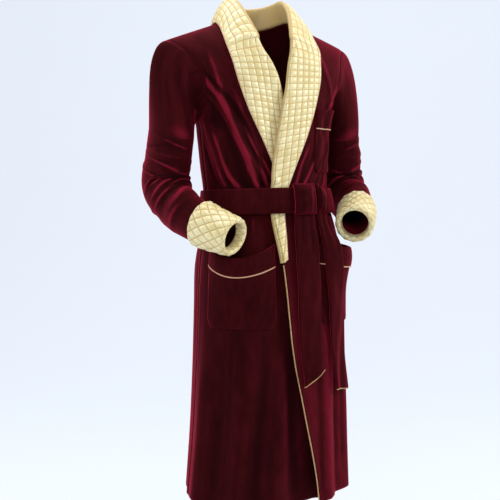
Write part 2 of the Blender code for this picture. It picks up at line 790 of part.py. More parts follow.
def collar_fall(side, station, keys, w):
    """A point of the fall's hidden face, w from the roll (0) to the edge (1)."""
    ends, edge, up, out, wrapped, edge_x, edge_z = keys
    start = ends[3]
    control = start.lerp(edge, 0.45) + up * 0.012 + out * 0.014
    free = start.lerp(control, w).lerp(control.lerp(edge, w), w)
    if wrapped == 0:
        return free
    x = lerp(start.x, edge_x, w)
    z = lerp(start.z, edge_z, w)
    laid, _ = skin(side, x, z, lerp(EDGE_LAY, LAY_GAP, smooth(0.0, 0.3, w)))
    laid = start.lerp(laid, smooth(0.0, 0.12, w))
    return free.lerp(laid, wrapped)


def collar_lines(side, station, count):
    """Where the quilting's lines cross the fall at a station, from 0 to 1."""
    key = "left" if side == LEFT else "right"
    at_roll = side * front_edge(side, -0.048) + QUILT_LEAN * 0.048
    edge = COLLAR.at(key, station) - QUILT_LEAN * COLLAR.at("edge_z", station)
    edge = lerp(at_roll + 0.088, edge, smooth(0.12, 0.20, station))
    roll_z = COLLAR.at("roll_z", station)
    roll = side * front_edge(side, min(roll_z, -0.048)) - QUILT_LEAN * min(roll_z, -0.048)
    found = []
    for k in range(-5, count - 5):
        w = (at_roll + k * COLLAR_SQUARE - roll) / (edge - roll)
        snap = 0.0035 / max(edge - roll, 0.0036)
        if w < snap:
            w = 0.0
        if w > 1 - snap:
            w = 1.0
        found.append(w)
    return found


def collar_grid(side, front):
    """The collar's hidden points, a row for each line of quilting."""
    rows = round(COLLAR_END[side] / COLLAR_SQUARE)
    hidden = []
    for row in range(rows + 1):
        station = row / rows * COLLAR_END[side]
        keys = collar_station(side, station, front)
        ends = keys[0]
        line = [ends[0].lerp(ends[1], k / TURNED_CELLS) for k in range(TURNED_CELLS)]
        line += [ends[1], ends[2], ends[3]]
        line += [collar_fall(side, station, keys, w)
                 for w in collar_lines(side, station, COLLAR_LINES)]
        line.append(keys[1])
        hidden.append([point + Vector((side * SEAM_GAP / 2, 0, 0)) for point in line])
    return hidden


def clear_of(tree, point, clearance):
    """Moves a point away from the chest until it has the clearance."""
    core = Vector((point.x * 0.6, 0.010, min(point.z, -0.12)))
    out = (point - core).normalized()
    reach = 0.05
    hit, _, _, distance = tree.ray_cast(point + out * reach, -out, 2 * reach)
    if hit is None:
        return point
    return point + out * max(reach - distance + clearance, 0.0)


def distinct(line, k, step):
    """The next point along a line that isn't the same as point k."""
    other = k + step
    while 0 <= other < len(line) and (line[other] - line[k]).length < 1e-6:
        other += step
    return line[min(max(other, 0), len(line) - 1)]


def make_collars(made):
    tree = outer_tree(*(made[name][0] for name in ("back", "front_right", "front_left")))
    fall = TURNED_CELLS + 3
    for side, name in ((RIGHT, "collar_right"), (LEFT, "collar_left")):
        own = "front_left" if side == LEFT else "front_right"
        hidden = collar_grid(side, made[own])
        own_tree = outer_tree(made["back"][0], made[own][0])
        for line in hidden:
            for k in range(fall - 1, len(line)):
                shoulder = smooth(-0.13, -0.07, line[k].z)
                near = max(1 - (k - fall) / 4, 0.0)
                gap = lerp(LAY_GAP, 0.0030 + 0.0030 * near, shoulder)
                line[k] = clear_of(own_tree, line[k], gap)
        satin = []
        for row, line in enumerate(hidden):
            above = hidden[max(row - 1, 0)]
            below = hidden[min(row + 1, len(hidden) - 1)]
            faced = []
            for k, point in enumerate(line):
                across = distinct(line, k, 1) - distinct(line, k, -1)
                along = below[k] - above[k]
                normal = across.cross(along).normalized() * -side
                if row == 0:
                    normal.x = 0
                    normal.normalize()
                faced.append(point + normal * QUILTED)
            satin.append(faced)
        made[name] = (quilted_wall(name, satin, hidden, fall), satin, hidden)
    return tree


def quilted_wall(name, outer, inner, fall):
    """A collar's wall, its merged grid raised in the middle of each square."""
    columns = len(outer[0])
    mesh, place = grid_mesh(outer, False)
    bmesh.ops.remove_doubles(mesh, verts=mesh.verts[:], dist=2e-5)
    outside = mesh.faces[:]
    grown = bmesh.ops.extrude_face_region(mesh, geom=outside)
    for item in grown["geom"]:
        if isinstance(item, bmesh.types.BMVert):
            item.co = inner[item[place] // columns][item[place] % columns]
    bmesh.ops.recalc_face_normals(mesh, faces=mesh.faces[:])
    chosen = [face for face in outside
              if min(vert[place] % columns for vert in face.verts) >= fall
              and face.calc_area() > 0.4 * COLLAR_SQUARE ** 2]
    bmesh.ops.poke(mesh, faces=chosen, offset=QUILT_RISE, center_mode="MEAN")
    return finish(name, mesh, GOLD)


def pocket_point(key, tree, u, v, offset):
    """A point of a pocket, u across from its inner edge, v up from its foot."""
    side, inner, outer, top_inner, top_outer, foot, _, gape, sag = POCKETS[key]
    corner = 1 - 0.16 * max(1 - v / 0.13, 0.0) ** 2
    across = 0.5 + (u - 0.5) * corner
    turn = side * math.radians(lerp(inner, outer, across))
    top = lerp(top_inner, top_outer, u) - sag * math.sin(math.pi * u)
    z = lerp(foot, top, v)
    out = Vector((math.sin(turn), -math.cos(turn), 0))
    seat = rest_on(tree, body_point(turn, z, -1, side), out, POCKET_LAY)
    away = gape * math.sin(math.pi * u) ** 0.8 * smooth(0.25, 1.0, v) ** 1.4
    return seat + out * (away + offset)


def pocket_rows(key):
    """The pocket's rows; the band's lower edge is one of them."""
    _, _, _, top, _, foot, band, _, _ = POCKETS[key]
    low = 1 - band / (top - foot)
    return [0.0, 0.07, 0.15] + [lerp(0.15, low, k / 3) for k in (1, 2, 3)] + [(1 + low) / 2, 1.0]


def make_pockets(made, tree):
    for key in POCKETS:
        columns = steps(POCKET_COLUMNS if key != "chest" else 6)
        rows = pocket_rows(key)

        def pouch(offset, rows, columns=columns, key=key):
            return [[pocket_point(key, tree, u, v, offset) for u in columns] for v in rows]

        name = "pocket_" + key
        made[name] = (wall(name, pouch(VELVET, rows), pouch(0.0, rows), BURGUNDY), None, None)
        low = VELVET + 0.0006
        name = "band_" + key
        outer = pouch(low + VELVET, rows[-3:])
        made[name] = (wall(name, outer, pouch(low, rows[-3:]), BURGUNDY), None, None)
        line = pouch(low + PIPING / 2, rows[-3:])[0]
        line = [point - Vector((0, 0, PIPING / 2 + 0.0005)) for point in line]
        made["pocket_piping_" + key] = (cord("pocket_piping_" + key, line, PIPING / 2), None, None)


def cord(name, line, radius, sides=6):
    """A round cord along a line of points, closed at its ends."""
    mesh = bmesh.new()
    rings = []
    for k, point in enumerate(line):
        axis = (line[min(k + 1, len(line) - 1)] - line[max(k - 1, 0)]).normalized()
        first = axis.cross(Vector((0, 0.6, 0.8)))
        if first.length < 0.3:
            first = axis.cross(Vector((1, 0, 0)))
        first.normalize()
        second = axis.cross(first)
        rings.append([
            mesh.verts.new(point + (first * math.cos(math.tau * j / sides)
                                    + second * math.sin(math.tau * j / sides)) * radius)
            for j in range(sides)])
    for low, high in zip(rings, rings[1:]):
        for j in range(sides):
            mesh.faces.new((low[j], low[j - 1], high[j - 1], high[j]))
    mesh.faces.new(rings[0])
    mesh.faces.new(rings[-1][::-1])
    bmesh.ops.recalc_face_normals(mesh, faces=mesh.faces[:])
    return finish(name, mesh, CORD_GOLD)


def make_front_piping(made):
    _, outer, inner = made["front_left"]
    line = []
    for row in range(PIPED_ROWS):
        middle = (outer[row][0] + inner[row][0]) / 2
        away = (outer[row][0] - outer[row][1]).normalized()
        line.append(middle + away * (PIPING / 2 + 0.0005))
    made["front_piping"] = (cord("front_piping", line, PIPING / 2), line, None)


def belt_reach(tree, degrees, z):
    """How far the dressed body reaches from its axis in a direction."""
    turn = math.radians(degrees)
    out = Vector((math.sin(turn), -math.cos(turn), 0))
    axis = Vector((0.010, -0.025, z))
    hit, _, _, distance = tree.ray_cast(axis + out * 0.4, -out, 0.4)
    return 0.4 - distance if hit else 0.1


def make_belt(made):
    names = ("back", "front_right", "front_left", "collar_right", "collar_left")
    tree = outer_tree(*(made[name][0] for name in names))
    outer = []
    inner = []
    spread = 360 / BELT_COLUMNS
    for row in range(4):
        share = row / 3
        outer_row = []
        inner_row = []
        for k in range(BELT_COLUMNS):
            degrees = k * spread
            turn = math.radians(degrees)
            drop = BELT_SIDE_DROP * (1 - math.cos(turn)) / 2
            z = BELT_MIDDLE - drop + BELT_HEIGHT * (0.5 - share)
            reach = max(
                belt_reach(tree, degrees + spread * d / 3, z + dz)
                for d in range(-4, 5) for dz in (-0.020, -0.010, 0.0, 0.010, 0.020))
            out = Vector((math.sin(turn), -math.cos(turn), 0))
            base = Vector((0.010, -0.025, z)) + out * (reach + 0.0007)
            swell = 0.0025 * math.sin(math.pi * share)
            inner_row.append(base)
            outer_row.append(base + out * (BELT_THICK + swell))
        outer.append(outer_row)
        inner.append(inner_row)
    made["belt_band"] = (wall("belt_band", outer, inner, BURGUNDY, closed=True), outer, inner)


def make_knot(made):
    tree = outer_tree(made["belt_band"][0])
    ahead = Vector((0, -1, 0))
    for name, sizes in (("belt_knot", KNOT_TURN), ("belt_knot_pass", KNOT_PASS)):
        x0, x1, z0, z1, depth, slant = sizes
        front = []
        rear = []
        for v in steps(7):
            front_row = []
            rear_row = []
            for u in steps(7):
                pinch = 1 - 0.10 * math.sin(math.pi * v)
                x = lerp(x0, x1, 0.5 + (u - 0.5) * pinch)
                z = lerp(z0, z1, v) + slant * (u - 0.5) * 2
                seat = Vector((x, belt_face(tree, x, z), z))
                dome = math.sqrt(max(1 - abs(2 * u - 1) ** 2.6, 0)) * math.sqrt(
                    max(1 - abs(2 * v - 1) ** 3.0, 0))
                crease = 0.0022 * math.cos(math.tau * 1.5 * (u - 0.5 + 0.12 * v)) * dome
                rear_row.append(seat)
                front_row.append(seat + ahead * (0.004 + depth * dome + crease))
            front.append(front_row)
            rear.append(rear_row)
        made[name] = (wall(name, front, rear, BURGUNDY), front, rear)


def belt_face(tree, x, z):
    """The y just in front of the belt at a place, or at the nearest place on it."""
    return min(
        nearest_face(tree, x + dx, min(max(z + dz, BELT_MIDDLE - BELT_FEEL), BELT_MIDDLE + BELT_FEEL))
        for dx in (-0.006, 0, 0.006) for dz in (-0.006, 0, 0.006)) - BELT_SEAT


def make_tails(made):
    names = ("front_right", "front_left", "pocket_left", "band_left",
             "pocket_piping_left", "front_piping", "collar_left")
    tree = outer_tree(*(made[name][0] for name in names))
    belt = outer_tree(made["belt_band"][0])
    ahead = Vector((0, -1, 0))
    for name, table in (("belt_tail_front", TAIL_FRONT), ("belt_tail_back", TAIL_BACK)):
        low = table.rows[0][0]
        high = table.rows[-1][0]
        outer = []
        inner = []
        for v in steps(16):
            outer_row = []
            inner_row = []
            for u in steps(4):
                slant = TAIL_END_SLANT[name] * v ** 6 + TAIL_TOP_SLANT[name] * (1 - v) ** 6
                z = lerp(high, low, v) + slant * (u - 0.5)
                breadth = table.at("breadth", z)
                x = table.at("x", z) + breadth * (u - 0.5)
                reach = min(
                    nearest_face(tree, x + dx, z + dz)
                    for dx in (-0.014, -0.007, 0, 0.007, 0.014)
                    for dz in (-0.024, -0.012, 0, 0.012, 0.024))
                wave = 0.0035 * (1 - math.cos(math.tau * (v * 1.3 + 0.1))) * smooth(0.1, 0.5, v)
                curl = 0.0030 * math.sin(math.pi * u) * smooth(0.0, 0.2, v)
                hung = reach - BELT_SEAT - wave
                tied = min(hung, belt_face(belt, x, z))
                spot = Vector((x, lerp(tied, hung, smooth(0.0, 0.25, v)), z))
                inner_row.append(spot + ahead * curl)
                outer_row.append(spot + ahead * (curl + BELT_THICK))
            outer.append(outer_row)
            inner.append(inner_row)
        made[name] = (wall(name, outer, inner, BURGUNDY), outer, inner)
        line = [(a + b) / 2 - Vector((0, 0, PIPING / 2 + 0.0005))
                for a, b in zip(outer[-1], inner[-1])]
        piping = name.replace("belt_tail", "tail_piping")
        made[piping] = (cord(piping, line, PIPING / 2), line, None)


def nearest_face(tree, x, z):
    """The foremost y of the dressed front at a place."""
    hit, _, _, _ = tree.ray_cast(Vector((x, -0.5, z)), Vector((0, 1, 0)), 0.5)
    return hit.y if hit else BEHIND


def main():
    remove_all()
    made = make_body()
    make_sleeves(made)
    make_cuffs(made)
    tree = make_collars(made)
    make_pockets(made, tree)
    make_front_piping(made)
    make_belt(made)
    make_knot(made)
    make_tails(made)


main()
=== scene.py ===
"""Looks of a full-length smoking jacket of velvet with a quilted satin collar.

+Z is up and the front faces -Y. RIGHT (-1) is the garment's own right, at -X,
and LEFT (+1) is its own left. All sizes are in metres.
"""
import math

import bmesh
import bpy
import numpy as np
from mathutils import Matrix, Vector
from mathutils.bvhtree import BVHTree


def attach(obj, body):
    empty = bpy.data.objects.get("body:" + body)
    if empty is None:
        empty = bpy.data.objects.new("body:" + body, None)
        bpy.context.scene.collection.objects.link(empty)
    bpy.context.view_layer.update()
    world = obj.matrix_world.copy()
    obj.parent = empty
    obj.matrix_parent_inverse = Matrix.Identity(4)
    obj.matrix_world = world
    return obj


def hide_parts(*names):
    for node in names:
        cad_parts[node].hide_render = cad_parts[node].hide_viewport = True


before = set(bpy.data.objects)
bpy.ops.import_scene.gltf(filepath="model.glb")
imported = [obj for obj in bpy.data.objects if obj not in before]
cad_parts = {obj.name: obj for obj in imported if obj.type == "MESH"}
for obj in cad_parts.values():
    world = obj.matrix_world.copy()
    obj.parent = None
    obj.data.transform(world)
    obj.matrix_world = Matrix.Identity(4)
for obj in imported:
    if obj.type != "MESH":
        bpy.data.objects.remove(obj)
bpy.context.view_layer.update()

RIGHT = -1
LEFT = 1
SIDE_NAMES = {RIGHT: "right", LEFT: "left"}

# Cloth thicknesses and clearances
VELVET = 0.0024
QUILTED = 0.0042
QUILT_RISE = 0.0026
SEAM_GAP = 0.0004
LAY_GAP = 0.0012
EDGE_GAP = 0.0026
EDGE_LAY = 0.0018
NECK_GAP = 0.0042
PIPING = 0.0032
PIPING_GAP = 0.0003
CORD_TOP = -0.578

# Heights of the main lines
HEM = -1.150
ARMPIT = -0.240
NECK_WIDTH = 0.078
SHOULDER_HALF = 0.236
SHOULDER_DROP = 0.056
NECK_POINT_Z = 0.004
RIDGE_Y = 0.015
ROUND_DEPTH = 0.115
NECK_DIP = 0.018
HEM_DIP = 0.010

# Size of one quilted square of the collar
COLLAR_SQUARE = 0.016


class Table:
    """Rows of numbers under named columns, read smoothly by the first column."""

    def __init__(self, names, rows):
        self.names = names.split()
        self.rows = np.array(sorted(rows), float)

    def at(self, name, key):
        x = self.rows[:, 0]
        y = self.rows[:, self.names.index(name)]
        slope = np.gradient(y, x)
        slope[0] = (y[1] - y[0]) / (x[1] - x[0])
        slope[-1] = (y[-1] - y[-2]) / (x[-1] - x[-2])
        slope[1:-1] = (y[2:] - y[:-2]) / (x[2:] - x[:-2])
        key = np.clip(key, x[0], x[-1])
        k = np.clip(np.searchsorted(x, key, side="left") - 1, 0, len(x) - 2)
        step = x[k + 1] - x[k]
        t = (key - x[k]) / step
        t2 = t * t
        t3 = t2 * t
        value = (2 * t3 - 3 * t2 + 1) * y[k] + (3 * t2 - 2 * t3) * y[k + 1]
        return value + step * ((t3 - 2 * t2 + t) * slope[k] + (t3 - t2) * slope[k + 1])

    def point(self, side, key):
        """A point of a line in space, x toward the side."""
        return np.stack([side * self.at("x", key), self.at("y", key), self.at("z", key)], -1)


# The garment's level sections: half width, foremost and rearmost y, sideways
# shift of the middle, and how square the section is
BODY = Table("z half front back shift power", [
    (-1.16, 0.2120, -0.188, 0.112, 0.005, 2.20),
    (-1.00, 0.2010, -0.187, 0.108, 0.008, 2.20),
    (-0.85, 0.1945, -0.186, 0.104, 0.010, 2.20),
    (-0.70, 0.1900, -0.184, 0.100, 0.012, 2.25),
    (-0.60, 0.1850, -0.176, 0.098, 0.012, 2.30),
    (-0.52, 0.1730, -0.163, 0.096, 0.012, 2.30),
    (-0.43, 0.1560, -0.143, 0.098, 0.010, 2.30),
    (-0.35, 0.1580, -0.134, 0.112, 0.008, 2.30),
    (-0.28, 0.1620, -0.130, 0.122, 0.008, 2.35),
    (-0.24, 0.1655, -0.127, 0.125, 0.008, 2.40),
    (-0.20, 0.1820, -0.123, 0.127, 0.007, 2.40),
    (-0.16, 0.2030, -0.117, 0.127, 0.005, 2.40),
    (-0.12, 0.2240, -0.108, 0.122, 0.002, 2.40),
    (-0.08, 0.2430, -0.098, 0.112, 0.000, 2.40),
    (-0.04, 0.2600, -0.090, 0.100, 0.000, 2.40),
    (0.03, 0.2700, -0.080, 0.090, 0.000, 2.40),
])

# How far from the middle each armhole line lies, from armpit (0) to shoulder (1)
ARMHOLE = Table("rise front back", [
    (0.00, 0.1650, 0.1650),
    (0.10, 0.1680, 0.1690),
    (0.25, 0.1720, 0.1740),
    (0.45, 0.1790, 0.1810),
    (0.62, 0.1930, 0.1930),
    (0.80, 0.2080, 0.2090),
    (0.92, 0.2240, 0.2250),
    (1.00, 0.2360, 0.2360),
])

# The two front edges, as distances toward the piece's own side
EDGE = Table("z right left", [
    (-1.16, -0.140, 0.076),
    (-1.08, -0.134, 0.062),
    (-0.96, -0.125, 0.038),
    (-0.88, -0.118, 0.023),
    (-0.77, -0.107, 0.002),
    (-0.70, -0.100, -0.006),
    (-0.57, -0.084, -0.017),
    (-0.46, -0.066, -0.030),
    (-0.40, -0.058, -0.025),
    (-0.335, -0.045, -0.018),
    (-0.26, -0.023, -0.003),
    (-0.205, -0.008, 0.010),
    (-0.164, 0.002, 0.021),
    (-0.110, 0.022, 0.033),
    (-0.070, 0.046, 0.047),
    (-0.030, 0.066, 0.063),
    (0.004, 0.078, 0.078),
])

# Folds of the body: place round the body in degrees (0 front, +90 the left
# side) at the fold's upper and lower end, its ends' heights, its half breadth in
# degrees and how far it stands out (+) or in (-)
FOLDS = [
    # upper front, drawn from the shoulders toward the belt
    (-62, -26, -0.09, -0.37, 6.0, 0.0050),
    (-50, -18, -0.14, -0.38, 5.0, -0.0035),
    (-40, -12, -0.22, -0.40, 5.0, 0.0040),
    (62, 30, -0.10, -0.38, 6.0, 0.0040),
    (48, 20, -0.18, -0.39, 5.0, -0.0030),
    (-78, -58, -0.24, -0.40, 6.0, 0.0040),
    # skirt, front and sides
    (-8, -10, -0.52, -1.16, 5.5, 0.0060),
    (-20, -24, -0.74, -1.16, 6.0, -0.0050),
    (-34, -40, -0.50, -1.16, 6.5, 0.0055),
    (-54, -58, -0.76, -1.16, 7.0, -0.0050),
    (-76, -78, -0.55, -1.16, 8.0, 0.0060),
    (22, 26, -0.50, -1.16, 6.0, 0.0060),
    (36, 40, -0.66, -1.16, 5.5, -0.0050),
    (52, 56, -0.52, -1.16, 6.5, 0.0055),
    (74, 76, -0.60, -1.16, 7.0, -0.0050),
    # skirt, back
    (-104, -106, -0.50, -1.16, 8.0, -0.0055),
    (-126, -130, -0.47, -1.16, 8.0, 0.0075),
    (-150, -152, -0.50, -1.16, 7.0, -0.0060),
    (-172, -174, -0.47, -1.16, 8.0, 0.0080),
    (104, 106, -0.50, -1.16, 8.0, 0.0060),
    (128, 130, -0.50, -1.16, 8.0, -0.0065),
    (150, 154, -0.47, -1.16, 8.0, 0.0075),
    # upper back, bloused over the belt
    (-132, -140, -0.16, -0.40, 7.0, 0.0055),
    (-158, -160, -0.24, -0.41, 7.0, -0.0040),
    (136, 140, -0.18, -0.40, 7.0, 0.0050),
    (160, 158, -0.26, -0.41, 7.0, 0.0040),
]

# Finer folds and creases in the same columns
FINE_FOLDS = [
    # drape from the right shoulder and armhole toward the belt
    (-70, -34, -0.13, -0.33, 2.6, 0.0022),
    (-56, -24, -0.10, -0.30, 2.4, -0.0020),
    (-44, -22, -0.24, -0.39, 2.2, 0.0026),
    (-32, -14, -0.26, -0.39, 1.8, 0.0022),
    (-26, -10, -0.31, -0.40, 1.6, -0.0018),
    (-18, -6, -0.33, -0.40, 1.6, 0.0020),
    (-66, -50, -0.27, -0.39, 2.8, 0.0022),
    (-84, -70, -0.30, -0.40, 2.8, -0.0022),
    # left chest
    (70, 42, -0.16, -0.36, 2.8, 0.0020),
    (56, 30, -0.27, -0.39, 2.2, -0.0018),
    (44, 24, -0.31, -0.40, 2.0, 0.0022),
    (78, 66, -0.27, -0.40, 3.0, 0.0022),
    # skirt, under the belt
    (-30, -30, -0.46, -0.56, 2.2, 0.0016),
    (-46, -44, -0.46, -0.54, 2.0, -0.0016),
    (-62, -60, -0.46, -0.58, 2.4, 0.0018),
    (-84, -84, -0.46, -0.62, 3.0, 0.0020),
    (-12, -23, -0.64, -1.16, 4.2, 0.0034),
    (-21, -29, -0.66, -1.14, 4.6, -0.0028),
    (-10, -5, -0.78, -1.16, 3.4, 0.0030),
    (-3, 2, -0.78, -1.16, 4.0, -0.0058),
    (-36, -40, -0.86, -1.16, 3.6, 0.0016),
    (-47, -50, -0.72, -1.12, 2.8, -0.0016),
    (-66, -68, -0.70, -1.16, 3.0, 0.0018),
    (16, 18, -0.70, -1.16, 2.4, -0.0018),
    (31, 34, -0.84, -1.16, 2.6, 0.0018),
    (46, 48, -0.74, -1.10, 2.6, -0.0016),
    (64, 66, -0.76, -1.16, 3.0, 0.0018),
    (84, 86, -0.50, -0.86, 3.0, 0.0018),
    # back
    (-112, -114, -0.46, -0.80, 3.0, 0.0020),
    (-140, -142, -0.62, -1.16, 3.2, 0.0020),
    (-162, -164, -0.46, -0.74, 3.0, -0.0018),
    (178, 178, -0.60, -1.16, 3.2, -0.0022),
    (96, 96, -0.46, -0.78, 3.0, -0.0018),
    (116, 118, -0.58, -1.16, 3.2, -0.0020),
    (140, 142, -0.46, -0.90, 3.0, 0.0022),
    (164, 166, -0.70, -1.16, 3.0, -0.0020),
    (-120, -128, -0.28, -0.40, 3.0, 0.0022),
    (-148, -150, -0.32, -0.41, 2.6, 0.0020),
    (-172, -172, -0.30, -0.41, 2.8, 0.0020),
    (148, 148, -0.30, -0.41, 2.8, -0.0020),
    (172, 170, -0.33, -0.41, 2.6, 0.0018),
    (122, 128, -0.27, -0.40, 3.0, 0.0022),
]

# Drawn folds of the upper front as heights and x from the middle, each with its
# half breadth and how far it stands out (+) or in (-)
DRAPES = [
    (0.0070, 0.0042, ((-0.200, -0.161), (-0.264, -0.145), (-0.336, -0.131), (-0.369, -0.120),
                      (-0.400, -0.105))),
    (0.0075, 0.0052, ((-0.070, -0.166), (-0.165, -0.141), (-0.242, -0.115), (-0.306, -0.095),
                      (-0.359, -0.079), (-0.400, -0.063))),
    (0.0100, -0.0045, ((-0.150, -0.163), (-0.194, -0.152), (-0.259, -0.130), (-0.336, -0.107),
                       (-0.400, -0.088))),
    (0.0050, 0.0026, ((-0.270, -0.150), (-0.320, -0.142), (-0.365, -0.134), (-0.400, -0.126))),
    (0.0060, 0.0028, ((-0.290, -0.092), (-0.330, -0.074), (-0.360, -0.058), (-0.400, -0.040))),
    (0.0080, -0.0026, ((-0.180, -0.118), (-0.242, -0.098), (-0.306, -0.074), (-0.359, -0.060),
                       (-0.400, -0.050))),
    (0.0080, 0.0034, ((-0.050, 0.110), (-0.093, 0.126), (-0.125, 0.136), (-0.166, 0.150), (-0.205, 0.152))),
    (0.0070, 0.0034, ((-0.225, 0.104), (-0.286, 0.108), (-0.335, 0.092), (-0.370, 0.068), (-0.402, 0.044))),
    (0.0060, 0.0028, ((-0.290, 0.074), (-0.320, 0.060), (-0.350, 0.044), (-0.402, 0.026))),
    (0.0065, 0.0032, ((-0.270, 0.145), (-0.335, 0.137), (-0.370, 0.128), (-0.402, 0.119))),
    (0.0080, -0.0028, ((-0.240, 0.128), (-0.300, 0.122), (-0.350, 0.104), (-0.402, 0.080))),
]

# Middle line of each sleeve from below the armhole to its end, with its half
# breadth side to side and front to back; x is the distance toward its own side
ARM = {
    RIGHT: Table("along x y z side front", [
        (0.00, 0.2230, 0.020, -0.270, 0.0520, 0.0740),
        (0.25, 0.2280, 0.034, -0.340, 0.0530, 0.0750),
        (0.45, 0.2320, 0.040, -0.392, 0.0550, 0.0720),
        (0.60, 0.2260, 0.000, -0.434, 0.0490, 0.0640),
        (0.75, 0.2130, -0.062, -0.464, 0.0420, 0.0550),
        (0.88, 0.1870, -0.121, -0.488, 0.0410, 0.0470),
        (1.00, 0.1510, -0.182, -0.508, 0.0400, 0.0390),
    ]),
    LEFT: Table("along x y z side front", [
        (0.00, 0.2320, 0.020, -0.270, 0.0500, 0.0740),
        (0.25, 0.2430, 0.032, -0.340, 0.0530, 0.0750),
        (0.45, 0.2470, 0.038, -0.390, 0.0550, 0.0720),
        (0.60, 0.2460, -0.006, -0.428, 0.0500, 0.0640),
        (0.75, 0.2370, -0.062, -0.450, 0.0430, 0.0560),
        (0.88, 0.2120, -0.118, -0.470, 0.0410, 0.0480),
        (1.00, 0.1760, -0.170, -0.488, 0.0400, 0.0400),
    ]),
}

# Creases of a sleeve: place along it, middle of the crease round it in degrees
# (0 outer, 90 front), half breadths along and round, height, and how far the
# crease runs along the sleeve for each 90 degrees round it
CREASES = [
    (-0.30, 40, 0.05, 50, 0.0030, 0.0),
    (-0.05, 70, 0.035, 60, -0.0030, 0.0),
    (0.16, 60, 0.035, 60, 0.0030, 0.0),
    (0.34, 75, 0.030, 55, -0.0035, 0.0),
    (0.43, 90, 0.026, 60, 0.0060, 0.0),
    (0.50, 85, 0.022, 50, -0.0060, 0.0),
    (0.565, 95, 0.024, 60, 0.0055, 0.0),
    (0.66, 60, 0.026, 70, -0.0035, 0.0),
    (0.72, 50, 0.028, 80, 0.0040, 0.0),
    (0.47, -90, 0.060, 50, 0.0040, 0.0),
    (0.60, -80, 0.040, 60, -0.0035, 0.0),
]
FINE_CREASES = [
    (-0.20, 60, 0.018, 46, 0.0016, 0.10),
    (-0.10, 20, 0.020, 50, 0.0018, -0.12),
    (0.06, 80, 0.016, 40, 0.0020, 0.08),
    (0.12, 10, 0.018, 44, -0.0018, -0.10),
    (0.24, 50, 0.015, 50, 0.0022, 0.07),
    (0.29, 110, 0.014, 40, 0.0022, -0.05),
    (0.38, 60, 0.013, 50, 0.0042, 0.05),
    (0.415, 85, 0.010, 44, 0.0034, 0.03),
    (0.46, 40, 0.012, 44, 0.0042, -0.05),
    (0.49, 110, 0.011, 44, 0.0044, 0.04),
    (0.535, 70, 0.011, 50, 0.0042, 0.05),
    (0.575, 45, 0.010, 40, 0.0032, 0.02),
    (0.60, 110, 0.012, 44, 0.0036, -0.05),
    (0.63, 30, 0.012, 50, 0.0024, 0.05),
    (0.69, 100, 0.012, 46, 0.0020, -0.06),
    (0.75, 20, 0.014, 60, 0.0020, 0.04),
    (0.30, -60, 0.018, 50, 0.0022, 0.08),
    (0.41, -110, 0.016, 46, 0.0024, -0.06),
    (0.54, -70, 0.014, 50, 0.0026, 0.06),
    (0.66, -100, 0.014, 46, 0.0022, -0.05),
    (0.10, -130, 0.020, 50, 0.0018, 0.08),
    (0.20, 170, 0.020, 50, 0.0016, -0.08),
]

# Roll line of the collar round the neck, from the centre back (0)
NECK_ROLL = Table("station x y z", [
    (0.000, 0.000, 0.080, 0.040),
    (0.040, 0.038, 0.072, 0.045),
    (0.080, 0.060, 0.046, 0.052),
    (0.116, 0.066, 0.014, 0.055),
    (0.150, 0.063, -0.024, 0.034),
    (0.182, 0.054, -0.059, -0.005),
    (0.214, 0.043, -0.089, -0.047),
])
NECK_END = 0.214

# The collar by its length from the centre back: height of its roll and of its
# outer edge, that edge's distance toward each side, and the turned-in breadth
COLLAR = Table("station roll_z edge_z right left turned", [
    (0.000, 0.040, -0.058, 0.000, 0.000, 0.048),
    (0.040, 0.045, -0.054, 0.054, 0.054, 0.048),
    (0.080, 0.052, -0.036, 0.094, 0.094, 0.048),
    (0.116, 0.055, -0.0075, 0.1115, 0.1115, 0.048),
    (0.150, 0.034, -0.030, 0.1180, 0.1180, 0.040),
    (0.182, -0.006, -0.050, 0.1190, 0.1200, 0.026),
    (0.214, -0.048, -0.070, 0.1180, 0.1210, 0.018),
    (0.262, -0.100, -0.104, 0.1120, 0.1180, 0.014),
    (0.310, -0.148, -0.144, 0.1030, 0.1130, 0.012),
    (0.358, -0.196, -0.186, 0.0900, 0.1000, 0.012),
    (0.406, -0.243, -0.230, 0.0740, 0.0840, 0.012),
    (0.454, -0.290, -0.276, 0.0540, 0.0640, 0.012),
    (0.502, -0.337, -0.323, 0.0320, 0.0420, 0.012),
    (0.550, -0.384, -0.371, 0.0090, 0.0200, 0.012),
    (0.598, -0.431, -0.420, -0.0160, 0.0000, 0.012),
    (0.646, -0.480, -0.470, -0.0380, -0.0070, 0.011),
    (0.694, -0.527, -0.519, -0.0560, -0.0080, 0.010),
    (0.742, -0.575, -0.568, -0.0700, -0.0090, 0.009),
])
SHOULDER_STATION = 0.116
COLLAR_END = {RIGHT: 0.646, LEFT: 0.742}
QUILT_LEAN = 0.14

# Patch pockets: inner and outer edge as degrees round the body, top height at
# the inner and outer edge, bottom height, band height, gape and sag of the mouth
POCKETS = {
    "right": (RIGHT, 12.5, 73.0, -0.532, -0.529, -0.728, 0.050, 0.028, 0.030),
    "left": (LEFT, 17.0, 80.0, -0.528, -0.545, -0.728, 0.050, 0.026, 0.012),
    "chest": (LEFT, 27.0, 71.0, -0.212, -0.212, -0.366, 0.046, 0.003, 0.002),
}
POCKET_LAY = 0.0018

CUFF_COLUMNS = 26

BELT_MIDDLE = -0.430
BELT_HEIGHT = 0.060
BELT_THICK = 0.0045
BELT_SIDE_DROP = 0.015
BELT_FEEL = 0.026
BELT_SEAT = 0.0004

# A dressed front that a ray misses counts as this y
BEHIND = -0.120
RAY_START = 0.5

# The knot's two pieces: x from and to, z from and to, depth, slant
KNOT_TURN = (0.0130, 0.0740, -0.391, -0.463, 0.024, 0.000)
KNOT_PASS = (0.0745, 0.1100, -0.398, -0.456, 0.014, -0.010)

